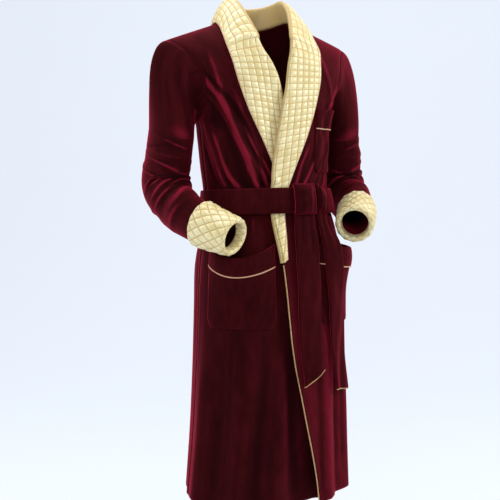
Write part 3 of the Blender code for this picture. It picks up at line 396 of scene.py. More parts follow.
# The belt's hanging ends: distance down, middle x and breadth
TAIL_FRONT = Table("z x breadth", [
    (-0.850, 0.0560, 0.060),
    (-0.750, 0.0470, 0.062),
    (-0.600, 0.0420, 0.062),
    (-0.4633, 0.0430, 0.056),
])
TAIL_BACK = Table("z x breadth", [
    (-0.890, 0.1480, 0.052),
    (-0.800, 0.1360, 0.052),
    (-0.700, 0.1260, 0.054),
    (-0.580, 0.1140, 0.052),
    (-0.4618, 0.1000, 0.044),
])
TAIL_END_SLANT = {"belt_tail_front": 0.036, "belt_tail_back": -0.010}
TAIL_TOP_SLANT = {"belt_tail_front": 0.0, "belt_tail_back": -0.0270}


def smooth(low, high, value):
    t = np.clip((value - low) / (high - low), 0.0, 1.0)
    return t * t * (3 - 2 * t)


def lerp(a, b, t):
    return a + (b - a) * t


def power(value, exponent):
    return np.copysign(np.abs(value) ** exponent, value)


def unit(vectors):
    return vectors / np.maximum(np.linalg.norm(vectors, axis=-1, keepdims=True), 1e-12)


def length_of(vectors):
    return np.linalg.norm(vectors, axis=-1)


def turned(degrees):
    """The same angle between -180 and 180 degrees."""
    return (degrees + 180) % 360 - 180


def rounded(share):
    """The height of a round edge, from 0 at its foot (0) to 1 on its top (1)."""
    return np.sqrt(1 - (1 - np.clip(share, 0.0, 1.0)) ** 2)


def bump_of(away):
    return np.exp(-(away ** 2))


def evened(grid, times):
    """Smooths a grid from row to row, in place; its end rows stay."""
    for _ in range(times):
        grid[1:-1] = (grid[:-2] + 2 * grid[1:-1] + grid[2:]) / 4


def shoulder_line(x):
    """Height of the shoulder seam at a distance from the middle."""
    slope = SHOULDER_DROP / (SHOULDER_HALF - NECK_WIDTH)
    return NECK_POINT_Z - slope * (np.abs(x) - NECK_WIDTH)


def top_line(x):
    """Height of the back piece's upper edge: shoulder seams and back neck."""
    neck = NECK_POINT_Z - NECK_DIP * (1 - (x / NECK_WIDTH) ** 2)
    return np.where(np.abs(x) >= NECK_WIDTH, shoulder_line(x), neck)


def ridge(z):
    """The y of the garment's side line at a height."""
    middle = (BODY.at("front", z) + BODY.at("back", z)) / 2 + 0.005
    return lerp(middle, RIDGE_Y, smooth(-0.30, -0.12, z))


def round_over(x, z):
    """How far the surface has come away from the shoulder ridge, 0 to 1."""
    return rounded((shoulder_line(x) - z) / ROUND_DEPTH)


def section_x(turn, z):
    p = 2 / BODY.at("power", z)
    return BODY.at("shift", z) + BODY.at("half", z) * power(np.sin(turn), p)


def section_turn(x, z):
    p = BODY.at("power", z) / 2
    ratio = (x - BODY.at("shift", z)) / BODY.at("half", z)
    return np.arcsin(np.clip(power(ratio, p), -1.0, 1.0))


def section_y(turn, z, face):
    """The y at a turn of the section; face -1 is the front and +1 the back."""
    p = 2 / BODY.at("power", z)
    reach = BODY.at("front" if face < 0 else "back", z) - ridge(z)
    return ridge(z) + reach * power(np.cos(turn), p) * round_over(section_x(turn, z), z)


def folds_of(rows, degrees, z):
    total = np.zeros(np.broadcast(degrees, z).shape)
    for top_turn, low_turn, top_z, low_z, breadth, height in rows:
        along = (z - top_z) / (low_z - top_z)
        centre = lerp(top_turn, low_turn, np.clip(along, 0.0, 1.0))
        fade = smooth(-0.12, 0.22, along)
        if low_z > HEM:
            fade = fade * (1 - smooth(0.80, 1.10, along))
        total += height * fade * bump_of(turned(degrees - centre) / breadth)
    return total


# Half heights in which the belt presses the large and the fine folds flat, the
# pockets' share in that, and how much deeper the skirt's large folds are
BELT_PRESS = 0.045
BELT_PRESS_FINE = 0.030
POCKET_PRESS = 0.85
POCKET_PRESS_FINE = 0.6
SKIRT_DEPTH = 1.5


def fold_height(degrees, z):
    """The large folds and the fine ones, flat under the belt and the pockets."""
    pockets = smooth(-0.98, -0.66, z) * smooth(-0.46, -0.53, z)
    free = 1 - bump_of((z - BELT_MIDDLE) / BELT_PRESS)
    free = free * (1 - POCKET_PRESS * pockets * smooth(91, 84, np.abs(degrees)))
    large = folds_of(FOLDS, degrees, z) * free * lerp(SKIRT_DEPTH, 1.0, smooth(-0.60, -0.45, z))
    free = (1 - bump_of((z - BELT_MIDDLE) / BELT_PRESS_FINE)) * (1 - POCKET_PRESS_FINE * pockets)
    return large + folds_of(FINE_FOLDS, degrees, z) * free


def drape_height(x, z):
    """The drawn folds of the upper front."""
    total = np.zeros(np.broadcast(x, z).shape)
    for breadth, height, line in DRAPES:
        line = np.array(line)[::-1]
        middle = np.interp(z, line[:, 0], line[:, 1])
        low, high = line[0, 0], line[-1, 0]
        fade = smooth(high + 0.012, high - 0.045, z) * smooth(low - 0.010, low + 0.006, z)
        total += height * fade * bump_of((x - middle) / breadth)
    return total


# How far the over front stands out at its top and at the hem, and how far the
# under front lies in there, with what it gains toward the hem
OVER_LIFT = (0.0045, 0.0120)
UNDER_DEPTH = 0.0140
UNDER_GAIN = 0.010


def overlap_lift(x, z, side):
    """The over front stands out and the under front in, where they overlap."""
    low = smooth(-0.80, -1.10, z)
    if side == LEFT:
        near = 1 - smooth(0.035, 0.13, x)
        return near * lerp(*OVER_LIFT, low)
    near = smooth(-0.085, -0.015, x) * smooth(-0.12, -0.20, z)
    within = smooth(-0.02, 0.07, x)
    return -near * UNDER_DEPTH - near * within * lerp(0.0, UNDER_GAIN, low)


def body_point(turn, z, face, side=0):
    """Points of the garment's outer surface, with its folds."""
    turn, z = np.broadcast_arrays(turn, z)
    x = section_x(turn, z)
    y = section_y(turn, z, face)
    degrees = np.degrees(turn) if face < 0 else 180 - np.degrees(turn)
    out = fold_height(degrees, z) * round_over(x, z)
    if face < 0:
        out = out + drape_height(x, z)
    if face < 0 and side:
        out = out + overlap_lift(x, z, side)
    out_y = np.cos(turn) * (-1 if face < 0 else 1)
    return np.stack([x + out * np.sin(turn), y + out * out_y, z], axis=-1)


def hem_height(turn, t):
    """The hem dips a little at the front and back."""
    return lerp(HEM - HEM_DIP * np.cos(turn) ** 2, ARMPIT, t)


def front_edge(side, z):
    """The x of a front's edge at a height."""
    return side * EDGE.at(SIDE_NAMES[side], z)


def armhole_x(face, side, tau):
    key = "front" if face < 0 else "back"
    shift = BODY.at("shift", ARMPIT) * (1 - smooth(0, 1, tau))
    return side * ARMHOLE.at(key, tau) + shift


def upper_row(side, tau):
    """The x of the front edge and of the armhole on a row above the armpit."""
    inner = np.full(np.shape(tau), float(front_edge(side, ARMPIT)))
    for _ in range(12):
        inner = front_edge(side, lerp(ARMPIT, shoulder_line(inner), tau))
    return inner, armhole_x(-1, side, tau)


def front_points(side, s, t):
    """A front's outer surface: s from its edge to the side, t from the hem."""
    s = s[None, :]
    low = t[t <= 1][:, None]
    z = lerp(HEM, ARMPIT, low)
    start = section_turn(front_edge(side, z), z)
    turn = lerp(start, side * math.pi / 2, s)
    lower = body_point(turn, hem_height(turn, low), -1, side)
    tau = np.minimum(t[t > 1] - 1, 1.0)[:, None]
    inner, outer = upper_row(side, tau)
    start = section_turn(front_edge(side, ARMPIT), ARMPIT)
    low_x = section_x(lerp(start, side * math.pi / 2, s), ARMPIT)
    low_inner = front_edge(side, ARMPIT)
    low_outer = section_x(side * math.pi / 2, ARMPIT)
    share = (low_x - low_inner) / (low_outer - low_inner)
    x = lerp(inner, outer, lerp(share, s, smooth(0, 0.7, tau)))
    z = lerp(ARMPIT, shoulder_line(x), tau)
    return np.concatenate([lower, body_point(section_turn(x, z), z, -1, side)])


def back_points(s, t):
    """The back's outer surface: s from -1 at the right side to 1 at the left."""
    s = s[None, :]
    low = t[t <= 1][:, None]
    turn = s * math.pi / 2 + low * 0
    lower = body_point(turn, hem_height(turn, low), 1)
    tau = np.minimum(t[t > 1] - 1, 1.0)[:, None]
    middle = (armhole_x(1, LEFT, tau) + armhole_x(1, RIGHT, tau)) / 2
    reach = armhole_x(1, LEFT, tau) - middle
    low_x = section_x(s * math.pi / 2, ARMPIT)
    share = (low_x - BODY.at("shift", ARMPIT)) / BODY.at("half", ARMPIT)
    x = middle + reach * lerp(share, s, smooth(0, 0.7, tau))
    z = lerp(ARMPIT, top_line(x), tau)
    return np.concatenate([lower, body_point(section_turn(x, z), z, 1)])


def normals_of(points, closed=False):
    """Normals of a grid of points, to the side that across x along gives."""
    if closed:
        across = np.roll(points, -1, axis=1) - np.roll(points, 1, axis=1)
    else:
        across = np.gradient(points, axis=1)
    along = np.gradient(points, axis=0)
    return unit(np.cross(across, along))


# Ridges: reach in cells with the height that counts as one, the reach of the
# evening out, and the edge cells that count less
RIDGE_SCALES = ((2, 0.0006), (5, 0.0022))
EVEN_REACH = (14, 9)
EDGE_CELLS = 5
EDGE_SHARE = 0.3
RIDGE_LIMIT = 1.5
RIDGE_SOFT = 2.4


def averaged(grid, axis, reach, wrap):
    """The mean over the cells within reach along an axis."""
    ends = [(0, 0), (0, 0)]
    ends[axis] = (reach, reach)
    padded = np.pad(grid, ends, mode="wrap" if wrap else "edge")
    run = np.cumsum(np.insert(padded, 0, 0.0, axis=axis), axis=axis)
    span = 2 * reach + 1
    later = np.take(run, np.arange(span, run.shape[axis]), axis)
    earlier = np.take(run, np.arange(0, run.shape[axis] - span), axis)
    return (later - earlier) / span


def ridges_of(points, closed=False, flip=1):
    """Where the cloth stands out in a ridge (+) or lies in a valley (-); the velvet paints its highlights
    and shade from these values.
    """
    rows, columns = points.shape[:2]
    normal = normals_of(points, closed) * flip
    total = np.zeros((rows, columns))
    for reach, scale in RIDGE_SCALES:
        down = np.clip(np.arange(rows) - reach, 0, rows - 1)
        up = np.clip(np.arange(rows) + reach, 0, rows - 1)
        before, after = np.arange(columns) - reach, np.arange(columns) + reach
        if closed:
            before, after = before % columns, after % columns
        else:
            before, after = np.clip(before, 0, columns - 1), np.clip(after, 0, columns - 1)
        around = (points[down] + points[up] + points[:, before] + points[:, after]) / 4
        total += np.sum((points - around) * normal, -1) / scale
    wide = total
    for reach in EVEN_REACH:
        wide = averaged(averaged(wide, 0, reach, False), 1, reach, closed)
    total = total - wide
    total[:EDGE_CELLS] *= EDGE_SHARE
    total[-EDGE_CELLS:] *= EDGE_SHARE
    if closed:
        total = np.concatenate([total, total[:, :1]], axis=1)
    else:
        total[:, :EDGE_CELLS] *= EDGE_SHARE
        total[:, -EDGE_CELLS:] *= EDGE_SHARE
    return RIDGE_LIMIT * np.tanh(total / RIDGE_SOFT)


def seam_runs(points):
    """How far each point of a panel lies from its left edge, right edge and top."""
    run = np.cumsum(length_of(np.gradient(points, axis=1)), axis=1)
    climb = np.cumsum(length_of(np.gradient(points, axis=0)), axis=0)
    return run - run[:, :1], run[:, -1:] - run, climb[-1:, :] - climb


def object_of(name, mesh):
    data = bpy.data.meshes.new(name)
    mesh.to_mesh(data)
    mesh.free()
    data.shade_smooth()
    item = bpy.data.objects.new(name, data)
    bpy.context.scene.collection.objects.link(item)
    return item


def sheet_mesh(name, points, closed=False, inner=None, flip=False, quilt=None):
    """A piece of cloth from a grid of points, one face thick or with its inner wall.

    The grid's mesh starts as a flat one, and each corner goes to its point. The UV
    map "cloth" holds metres across and along, and "quilt" counts the pattern's lines;
    on velvet "quilt" holds the ridge values that paint its highlights and shade.
    """
    rows, columns = points.shape[:2]
    across = columns if closed else columns - 1
    mesh = bmesh.new()
    place = mesh.verts.layers.int.new("place")
    bmesh.ops.create_grid(mesh, x_segments=across, y_segments=rows - 1, size=1.0)
    cloth = mesh.loops.layers.uv.new("cloth")
    lines = mesh.loops.layers.uv.new("quilt") if quilt else None
    wide = np.mean(np.sum(length_of(np.diff(points, axis=1)), axis=1))
    tall = np.mean(np.sum(length_of(np.diff(points, axis=0)), axis=0))
    for vert in mesh.verts:
        column = round((vert.co.x + 1) / 2 * across)
        row = round((vert.co.y + 1) / 2 * (rows - 1))
        for loop in vert.link_loops:
            loop[cloth].uv = (column / across * wide, row / (rows - 1) * tall)
            if quilt:
                loop[lines].uv = (quilt[0][row, column], quilt[1][row, column])
        vert[place] = row * columns + column % columns
    flat = points.reshape(-1, 3)
    for vert in mesh.verts:
        vert.co = flat[vert[place]]
    if closed:
        bmesh.ops.remove_doubles(mesh, verts=mesh.verts[:], dist=1e-7)
    if flip:
        bmesh.ops.reverse_faces(mesh, faces=mesh.faces[:])
    if inner is not None:
        under = inner.reshape(-1, 3)
        grown = bmesh.ops.extrude_face_region(mesh, geom=mesh.faces[:])
        for item in grown["geom"]:
            if isinstance(item, bmesh.types.BMVert):
                item.co = under[item[place]]
        bmesh.ops.recalc_face_normals(mesh, faces=mesh.faces[:])
    return object_of(name, mesh)


def thicken(item, thickness):
    """Gives a sheet its thickness behind its face."""
    shell = item.modifiers.new("thickness", "SOLIDIFY")
    shell.thickness = thickness
    shell.offset = -1.0
    shell.use_even_offset = False
    return item


def tree_of(*grids):
    """A search tree of finished surfaces, for what lies on them."""
    verts = []
    faces = []
    for points, closed in grids:
        rows, columns = points.shape[:2]
        start = len(verts)
        verts.extend(map(tuple, points.reshape(-1, 3)))
        last = columns if closed else columns - 1
        for r in range(rows - 1):
            for c in range(last):
                d = (c + 1) % columns
                faces.append((start + r * columns + c, start + r * columns + d,
                              start + (r + 1) * columns + d, start + (r + 1) * columns + c))
    return BVHTree.FromPolygons(verts, faces)


def rest_on(tree, points, out, clearance, reach=0.08):
    """Moves points along out until they lie the clearance above the tree."""
    clearance = np.broadcast_to(clearance, points.shape[:-1])
    found = points.copy()
    for spot in np.ndindex(points.shape[:-1]):
        way = Vector(out[spot])
        point = Vector(points[spot])
        hit, _, _, distance = tree.ray_cast(point + way * reach, -way, 2 * reach)
        if hit is not None:
            found[spot] = point + way * max(reach - distance + clearance[spot], 0.0)
    return found


def nearest_face(tree, x, z):
    """The foremost y of the dressed front at a place."""
    hit, _, _, _ = tree.ray_cast(Vector((x, -RAY_START, z)), Vector((0, 1, 0)), RAY_START)
    return hit.y if hit else BEHIND


# Cells of the finished surfaces
LOWER_CELLS = 146
UPPER_CELLS = 64
FRONT_CELLS = 96
BACK_CELLS = 120
HEAD_CELLS = 22
ARM_CELLS = 150
SEAM_REACH = 0.009
SEAM_DEPTH = 0.0011


def panel_rows():
    lower = np.linspace(0.0, 1.0, LOWER_CELLS + 1)
    upper = 1 + np.sin(np.pi / 2 * np.arange(1, UPPER_CELLS + 1) / UPPER_CELLS) ** 0.9
    return np.concatenate([lower, upper])


def drawn_in(points, flip, both_sides):
    """Sinks a panel a little along the seams that it is sewn by."""
    normal = normals_of(points) * flip
    from_left, from_right, from_top = seam_runs(points)
    near = np.minimum(from_right, from_top)
    if both_sides:
        near = np.minimum(near, from_left)
    dip = SEAM_DEPTH * (1 - smooth(0.0, SEAM_REACH, near))
    return points - normal * dip[..., None], normal


def make_panels(made):
    rows = panel_rows()
    for side, label in SIDE_NAMES.items():
        points = front_points(side, np.linspace(0.0, 1.0, FRONT_CELLS + 1), rows)
        points, normal = drawn_in(points, side, False)
        made["front_" + label] = (points, points - normal * VELVET)
    points = back_points(np.linspace(-1.0, 1.0, BACK_CELLS + 1), rows)
    points, normal = drawn_in(points, -1, True)
    made["back"] = (points, points - normal * VELVET)


def arm_centre(side, along):
    """The sleeve's middle line, which runs on straight past its end."""
    table = ARM[side]
    point = table.point(side, np.clip(along, 0.0, 1.0))
    step = 0.01
    ahead = table.point(side, 1.0) - table.point(side, 1.0 - step)
    past = np.maximum(along - 1, 0.0)
    return point + ahead * (past / step)[..., None]


def arm_points(side, along, degrees, offset, creased=1.0):
    """Points on a sleeve's tube, the offset out from its outer surface."""
    table = ARM[side]
    along, degrees, offset = np.broadcast_arrays(along, degrees, offset)
    axis = unit(arm_centre(side, along + 0.02) - arm_centre(side, np.maximum(along - 0.02, 0.0)))
    outward = np.zeros_like(axis)
    outward[..., 0] = side
    outward = unit(outward - axis * np.sum(outward * axis, -1, keepdims=True))
    forward = np.cross(axis, outward) * side
    wrong = (forward[..., 1] > 0) & (along < 0.3)
    forward[wrong] *= -1
    turn = np.radians(degrees)
    crease = np.zeros(along.shape)
    for rows, share in ((CREASES, 1.0), (FINE_CREASES, creased)):
        for place, middle, length, breadth, height, slant in rows:
            away = turned(degrees - middle)
            at = place + slant * away / 90
            crease += share * height * np.exp(-((along - at) / length) ** 2 - (away / breadth) ** 2)
    inside = np.minimum(along, 1.0)
    across = table.at("side", inside) + offset + crease
    deep = table.at("front", inside) + offset + crease
    ring = outward * (across * np.cos(turn))[..., None] + forward * (deep * np.sin(turn))[..., None]
    return arm_centre(side, along) + ring


def armhole_ring(side, made, layer):
    """The armhole from the armpit over the front, the tip and the back.

    Each point comes with the direction in which the panel runs out there.
    """
    front = made["front_" + SIDE_NAMES[side]]
    back = made["back"]
    edge, before = (-1, -2) if side == LEFT else (0, 1)
    rows = slice(LOWER_CELLS, None)
    front_ring = front[layer][rows, -1]
    back_ring = back[layer][rows, edge]
    front_out = unit(front[0][rows, -1] - front[0][rows, -2])
    back_out = unit(back[0][rows, edge] - back[0][rows, before])
    armpit = np.array([[side, 0.0, -0.5]])
    ring = np.concatenate([
        (front_ring[:1] + back_ring[:1]) / 2, front_ring[1:-1],
        (front_ring[-1:] + back_ring[-1:]) / 2, back_ring[-2:0:-1]])
    out = np.concatenate([armpit, front_out[1:-1], front_out[-1:] + back_out[-1:], back_out[-2:0:-1]])
    return ring, unit(out)


def hermite(start, end, leave, arrive, t):
    t2 = t * t
    t3 = t2 * t
    return (start * (2 * t3 - 3 * t2 + 1) + leave * (t3 - 2 * t2 + t)
            + end * (3 * t2 - 2 * t3) + arrive * (t3 - t2))


# A sleeve's head: how far it keeps the armhole's direction, as a share of its
# length, the way it ends in, its puff at the seam and the rows that the puff takes
HEAD_PULL = 0.9
HEAD_DOWN = (0.0, 0.10, -1.0)
PUFF = 0.0012
PUFF_ROWS = 5.0
ARM_END = 0.997


def make_sleeves(made):
    for side, label in SIDE_NAMES.items():
        ring, out = armhole_ring(side, made, 0)
        count = len(ring)
        degrees = 180 - 360 * np.arange(count) / count
        start = ring + out * SEAM_GAP
        first = arm_points(side, 0.0, degrees, 0.0)
        reach = length_of(first - start)[:, None] * HEAD_PULL
        down = unit(np.array(HEAD_DOWN)) * reach
        steps = np.arange(HEAD_CELLS)
        head = hermite(start, first, out * reach, down, (steps / HEAD_CELLS)[:, None, None])
        puff = np.sin(np.pi * np.minimum(steps / PUFF_ROWS, 1.0))[:, None, None]
        normal = normals_of(head, True)
        middle = head.mean(axis=1, keepdims=True)
        sign = np.sign(np.sum(normal * (head - middle), -1, keepdims=True))
        head = head + normal * sign * PUFF * puff
        along = np.linspace(0.0, ARM_END, ARM_CELLS + 1)[:, None]
        tube = arm_points(side, along, degrees[None, :], 0.0)
        made["sleeve_" + label] = (np.concatenate([head, tube]), None)


# A cuff's satin face and its hidden face: place along the sleeve and offset
CUFF_FACE = Table("row place offset", [
    (0.0, 0.845, 0.0066), (3.0, 0.9225, 0.0060), (6.0, 1.000, 0.0054), (6.7, 1.0095, 0.0042),
    (7.2, 1.0125, 0.0016), (7.6, 1.0125, -0.0026), (8.2, 1.006, -0.0062), (9.0, 0.975, -0.0084),
])
CUFF_HIDDEN = Table("row place offset", [
    (0.0, 0.845, 0.0024), (3.0, 0.9225, 0.0018), (6.0, 1.000, 0.0012), (7.0, 1.0035, -0.0002),
    (8.0, 1.0035, -0.0032), (9.0, 0.975, -0.0046),
])
CUFF_CELLS = 8
CUFF_LINES = 9
CUFF_EDGE = 0.0030
PILLOW_POWER = 0.6


def cuff_pillow(row, column):
    """Height of the diamonds between the cuff's bias quilting lines."""
    a = (row + column) / 2
    b = (row - column) / 2
    raised = np.abs(np.sin(np.pi * a) * np.sin(np.pi * b)) ** PILLOW_POWER
    return QUILT_RISE * raised * smooth(0.0, 0.35, row) * smooth(6.7, 6.2, row)


def make_cuffs(made):
    for side, label in SIDE_NAMES.items():
        name = "cuff_" + label
        row = np.linspace(0.0, CUFF_LINES, CUFF_LINES * CUFF_CELLS + 1)[:, None]
        lines = np.arange(CUFF_COLUMNS * CUFF_CELLS + 1)[None, :] / CUFF_CELLS
        column = lines[:, :-1]
        degrees = 180 - 360 * column / CUFF_COLUMNS
        rise = cuff_pillow(row, column)
        edge = CUFF_EDGE * (1 - smooth(0.0, 0.25, row))
        layers = []
        for table, raised in ((CUFF_FACE, rise - edge), (CUFF_HIDDEN, 0.0)):
            offset = table.at("offset", row) + raised
            layers.append(arm_points(side, table.at("place", row), degrees, offset, 0.0))
        satin, hidden = layers
        made[name] = (satin, hidden)
        made[name + "_quilt"] = ((row + lines) / 2, (row - lines) / 2)
        made[name + "_edge"] = satin[1]


def skin(side, x, z, out, face=-1):
    """Points of the body's surface over x and z, moved out along its normal."""
    x, z = np.broadcast_arrays(x, z)
    turn = section_turn(x, z)
    point = body_point(turn, z, face, side)
    below = body_point(section_turn(x, z - 0.004), z - 0.004, face, side)
    across = np.stack([np.cos(turn), -face * np.sin(turn), 0 * turn], -1)
    normal = unit(np.cross(across, point - below))
    normal = np.where(normal[..., 1:2] * face < 0, -normal, normal)
    return point + normal * np.asarray(out)[..., None]


def edge_frame(front, z):
    """A front edge's outer and inner points at heights, and the ways off it."""
    outer, inner = front
    heights = outer[:, 0, 2]

    def at(line):
        return np.stack([np.interp(z, heights, line[:, k]) for k in range(3)], -1)

    outside = at(outer[:, 0])
    inside = at(inner[:, 0])
    away = unit(outside - at(outer[:, 4]))
    return outside, inside, away, unit(outside - inside)


COLLAR_CELLS = 6
FALL_CELLS = 66
TURNED_CELLS = 8
ROLL_CELLS = 8
# The roll's half breadth to the neck and to the fall, and its height
ROLL_HALF = 0.0024
ROLL_HEIGHT = 0.0020


def collar_keys(side, station, front):
    """The collar's key points at its stations, on its hidden face."""
    edge_x = side * COLLAR.at(SIDE_NAMES[side], station)
    edge_z = COLLAR.at("edge_z", station)
    level = np.minimum(edge_z, shoulder_line(edge_x))
    lay = np.full(station.shape, LAY_GAP)
    edge = np.where((station < SHOULDER_STATION)[:, None],
                    skin(side, edge_x, level, lay, 1), skin(side, edge_x, level, lay, -1))
    near = np.minimum(station, NECK_END)
    roll = NECK_ROLL.point(side, near)
    neck_x = side * NECK_WIDTH * np.sin(np.pi / 2 * np.minimum(station / SHOULDER_STATION, 1.0))
    behind = skin(0, neck_x, top_line(neck_x), 0 * neck_x, 1)
    along = np.clip((near - SHOULDER_STATION) / (NECK_END - SHOULDER_STATION), 0, 1)
    outside, inside, away, _ = edge_frame(front, lerp(NECK_POINT_Z, -0.060, along))
    ahead = (outside + inside) / 2 + away * lerp(0.0008, NECK_GAP, smooth(0, 0.2, along))[:, None]
    neck = np.where((station <= SHOULDER_STATION)[:, None], behind, ahead)
    up = unit(roll - (neck + edge) / 2)
    out = unit((edge - neck) - up * np.sum((edge - neck) * up, -1, keepdims=True))
    free = np.stack([
        neck + unit(roll - neck) * 0.0012,
        roll - up * ROLL_HEIGHT - out * ROLL_HALF,
        roll,
        roll - up * ROLL_HEIGHT + out * ROLL_HALF,
    ])
    wrapped = smooth(0.205, 0.250, station)
    reached = smooth(0.240, 0.280, station)[:, None]
    outside, inside, away, face = edge_frame(front, COLLAR.at("roll_z", station))
    turned = COLLAR.at("turned", station)[:, None]
    lapped = np.stack([
        inside + away * lerp(EDGE_GAP, -turned, reached) - face * lerp(0.0050, EDGE_LAY, reached),
        inside + away * EDGE_GAP - face * EDGE_LAY,
        (inside + outside) / 2 + away * (EDGE_GAP + ROLL_HALF),
        outside + away * EDGE_GAP + face * EDGE_LAY,
    ])
    return lerp(free, lapped, wrapped[None, :, None]), edge, up, out, wrapped, edge_x, edge_z


def collar_fall(side, keys, w):
    """The fall's hidden face, w from the roll (0) to the outer edge (1)."""
    ends, edge, up, out, wrapped, edge_x, edge_z = keys
    start = ends[3][:, None]
    edge = edge[:, None]
    w = w[None, :, None]
    control = lerp(start, edge, 0.45) + up[:, None] * 0.012 + out[:, None] * 0.014
    free = lerp(lerp(start, control, w), lerp(control, edge, w), w)
    x = lerp(start[..., 0], edge_x[:, None], w[..., 0])
    z = lerp(start[..., 2], edge_z[:, None], w[..., 0])
    laid = skin(side, x, z, lerp(EDGE_LAY, LAY_GAP, smooth(0.0, 0.3, w[..., 0])) + 0 * x)
    laid = lerp(start, laid, smooth(0.0, 0.12, w))
    return lerp(free, laid, wrapped[:, None, None])


# The height where the lapels' quilting starts, and its breadth round the neck
LAPEL_TOP = -0.048
FALL_BEHIND = 0.088


def quilt_line(side, station, w):
    """Counts the upright quilting lines from the roll, at places on the fall."""
    at_roll = side * front_edge(side, LAPEL_TOP) - QUILT_LEAN * LAPEL_TOP
    edge = COLLAR.at(SIDE_NAMES[side], station) - QUILT_LEAN * COLLAR.at("edge_z", station)
    edge = lerp(at_roll + FALL_BEHIND, edge, smooth(0.12, 0.20, station))
    low = np.minimum(COLLAR.at("roll_z", station), LAPEL_TOP)
    roll = side * front_edge(side, low) - QUILT_LEAN * low
    return (lerp(roll[:, None], edge[:, None], w[None, :]) - at_roll) / COLLAR_SQUARE


def clear_of(tree, points, clearance):
    """Moves points away from the chest until they have the clearance."""
    core = np.stack([points[..., 0] * 0.6, 0 * points[..., 0] + 0.010,
                     np.minimum(points[..., 2], -0.12)], -1)
    return rest_on(tree, points, unit(points - core), clearance, 0.05)


def make_collars(made):
    for side, label in SIDE_NAMES.items():
        name = "collar_" + label
        own = made["front_" + label]
        tree = tree_of((made["back"][0], False), (own[0], False))
        count = round(COLLAR_END[side] / COLLAR_SQUARE)
        station = np.linspace(0.0, COLLAR_END[side], count * COLLAR_CELLS + 1)
        keys = collar_keys(side, station, own)
        ends = keys[0]
        stand = [lerp(ends[0], ends[1], k / TURNED_CELLS) for k in range(TURNED_CELLS)]
        top = 2 * ends[2] - (ends[1] + ends[3]) / 2
        turn = []
        for k in range(ROLL_CELLS):
            t = k / ROLL_CELLS
            turn.append((1 - t) ** 2 * ends[1] + 2 * t * (1 - t) * top + t * t * ends[3])
        w = np.linspace(0.0, 1.0, FALL_CELLS + 1)
        fall = collar_fall(side, keys, w)
        shoulder = smooth(-0.13, -0.07, fall[..., 2])
        near = np.maximum(1 - w * 4, 0.0)[None, :]
        gap = lerp(LAY_GAP, 0.0024 + 0.0020 * near, shoulder)
        fall = clear_of(tree, fall, gap)
        hidden = np.concatenate([np.stack(stand, 1), np.stack(turn, 1), fall], axis=1)
        hidden[..., 0] += side * SEAM_GAP / 2
        normal = normals_of(hidden) * -side
        normal[0, :, 0] = 0
        normal = unit(normal)
        lead = TURNED_CELLS + ROLL_CELLS
        q = np.zeros(hidden.shape[:2])
        q[:, lead:] = quilt_line(side, station, w)
        r = (station / COLLAR_SQUARE)[:, None] + 0 * q
        run = np.cumsum(length_of(np.gradient(hidden, axis=1)), axis=1)
        from_edge = run[:, -1:] - run
        pillow = np.abs(np.sin(np.pi * q) * np.sin(np.pi * r)) ** PILLOW_POWER
        pillow = pillow * smooth(0.0, 0.010, from_edge)
        pillow[:, :lead] = 0
        pillow *= smooth(0.0, 0.06, np.concatenate([np.zeros(lead), w]))[None, :]
        thick = QUILTED * rounded((from_edge + 0.0012) / 0.005)
        satin = hidden + normal * (thick + QUILT_RISE * pillow)[..., None]
        made[name] = (satin, hidden)
        made[name + "_quilt"] = (r, q)
        made[name + "_edge"] = hidden[:, -1] + normal[:, -1] * QUILTED * 0.5


def pocket_points(key, tree, u, v, offset):
    """Points of a pocket, u across from its inner edge, v up from its foot."""
    side, inner, outer, top_inner, top_outer, foot, _, gape, sag = POCKETS[key]
    u, v = np.broadcast_arrays(u[None, :], v[:, None])
    corner = 1 - 0.16 * np.maximum(1 - v / 0.13, 0.0) ** 2
    across = 0.5 + (u - 0.5) * corner
    turn = side * np.radians(lerp(inner, outer, across))
    top = lerp(top_inner, top_outer, u) - sag * np.sin(np.pi * u)
    z = lerp(foot, top, v)
    out = np.stack([np.sin(turn), -np.cos(turn), 0 * turn], -1)
    seat = rest_on(tree, body_point(turn, z, -1, side), out, POCKET_LAY)
    away = gape * np.maximum(np.sin(np.pi * u), 0.0) ** 0.8 * smooth(0.25, 1.0, v) ** 1.4
    edge = np.minimum(np.minimum(u, 1 - u) / 0.035, v / 0.04)
    press = 0.0010 * (1 - smooth(0.0, 1.0, edge)) * (1 - smooth(0.86, 0.95, v))
    soft = 0.0012 * np.sin(9.0 * u + 5.0 * v) * np.sin(np.pi * u) * smooth(0.05, 0.4, v)
    return seat + out * (away + offset - press + soft)[..., None]


def band_foot(key):
    _, _, _, top, _, foot, band, _, _ = POCKETS[key]
    return 1 - band / (top - foot)


POUCH_CELLS = (72, 84)
BAND_CELLS = 28
BAND_LIFT = 0.0006


def make_pockets(made):
    trees = {side: tree_of((made["front_" + label][0], False)) for side, label in SIDE_NAMES.items()}
    for key, sizes in POCKETS.items():
        tree = trees[sizes[0]]
        u = np.linspace(0.0, 1.0, POUCH_CELLS[0] + 1)
        pouch = pocket_points(key, tree, u, np.linspace(0.0, 1.0, POUCH_CELLS[1] + 1), VELVET)
        made["pocket_" + key] = (pouch, None)
        v = np.linspace(band_foot(key), 1.0, BAND_CELLS + 1)
        rise = 0.0009 * np.sin(np.pi * np.linspace(0.0, 1.0, BAND_CELLS + 1)) ** 0.5
        low = 2 * VELVET + BAND_LIFT
        made["band_" + key] = (pocket_points(key, tree, u, v, low + rise[:, None] + 0 * u[None, :]), None)
        line = pocket_points(key, tree, u, v[:1], VELVET + BAND_LIFT + PIPING / 2)[0]
        line[:, 2] -= PIPING / 2 + PIPING_GAP
        made["pocket_piping_" + key] = line


# The middle of the waist, x and y
BELT_AXIS = (0.010, -0.025)
BELT_REACH = 0.4
LEAST_REACH = 0.1


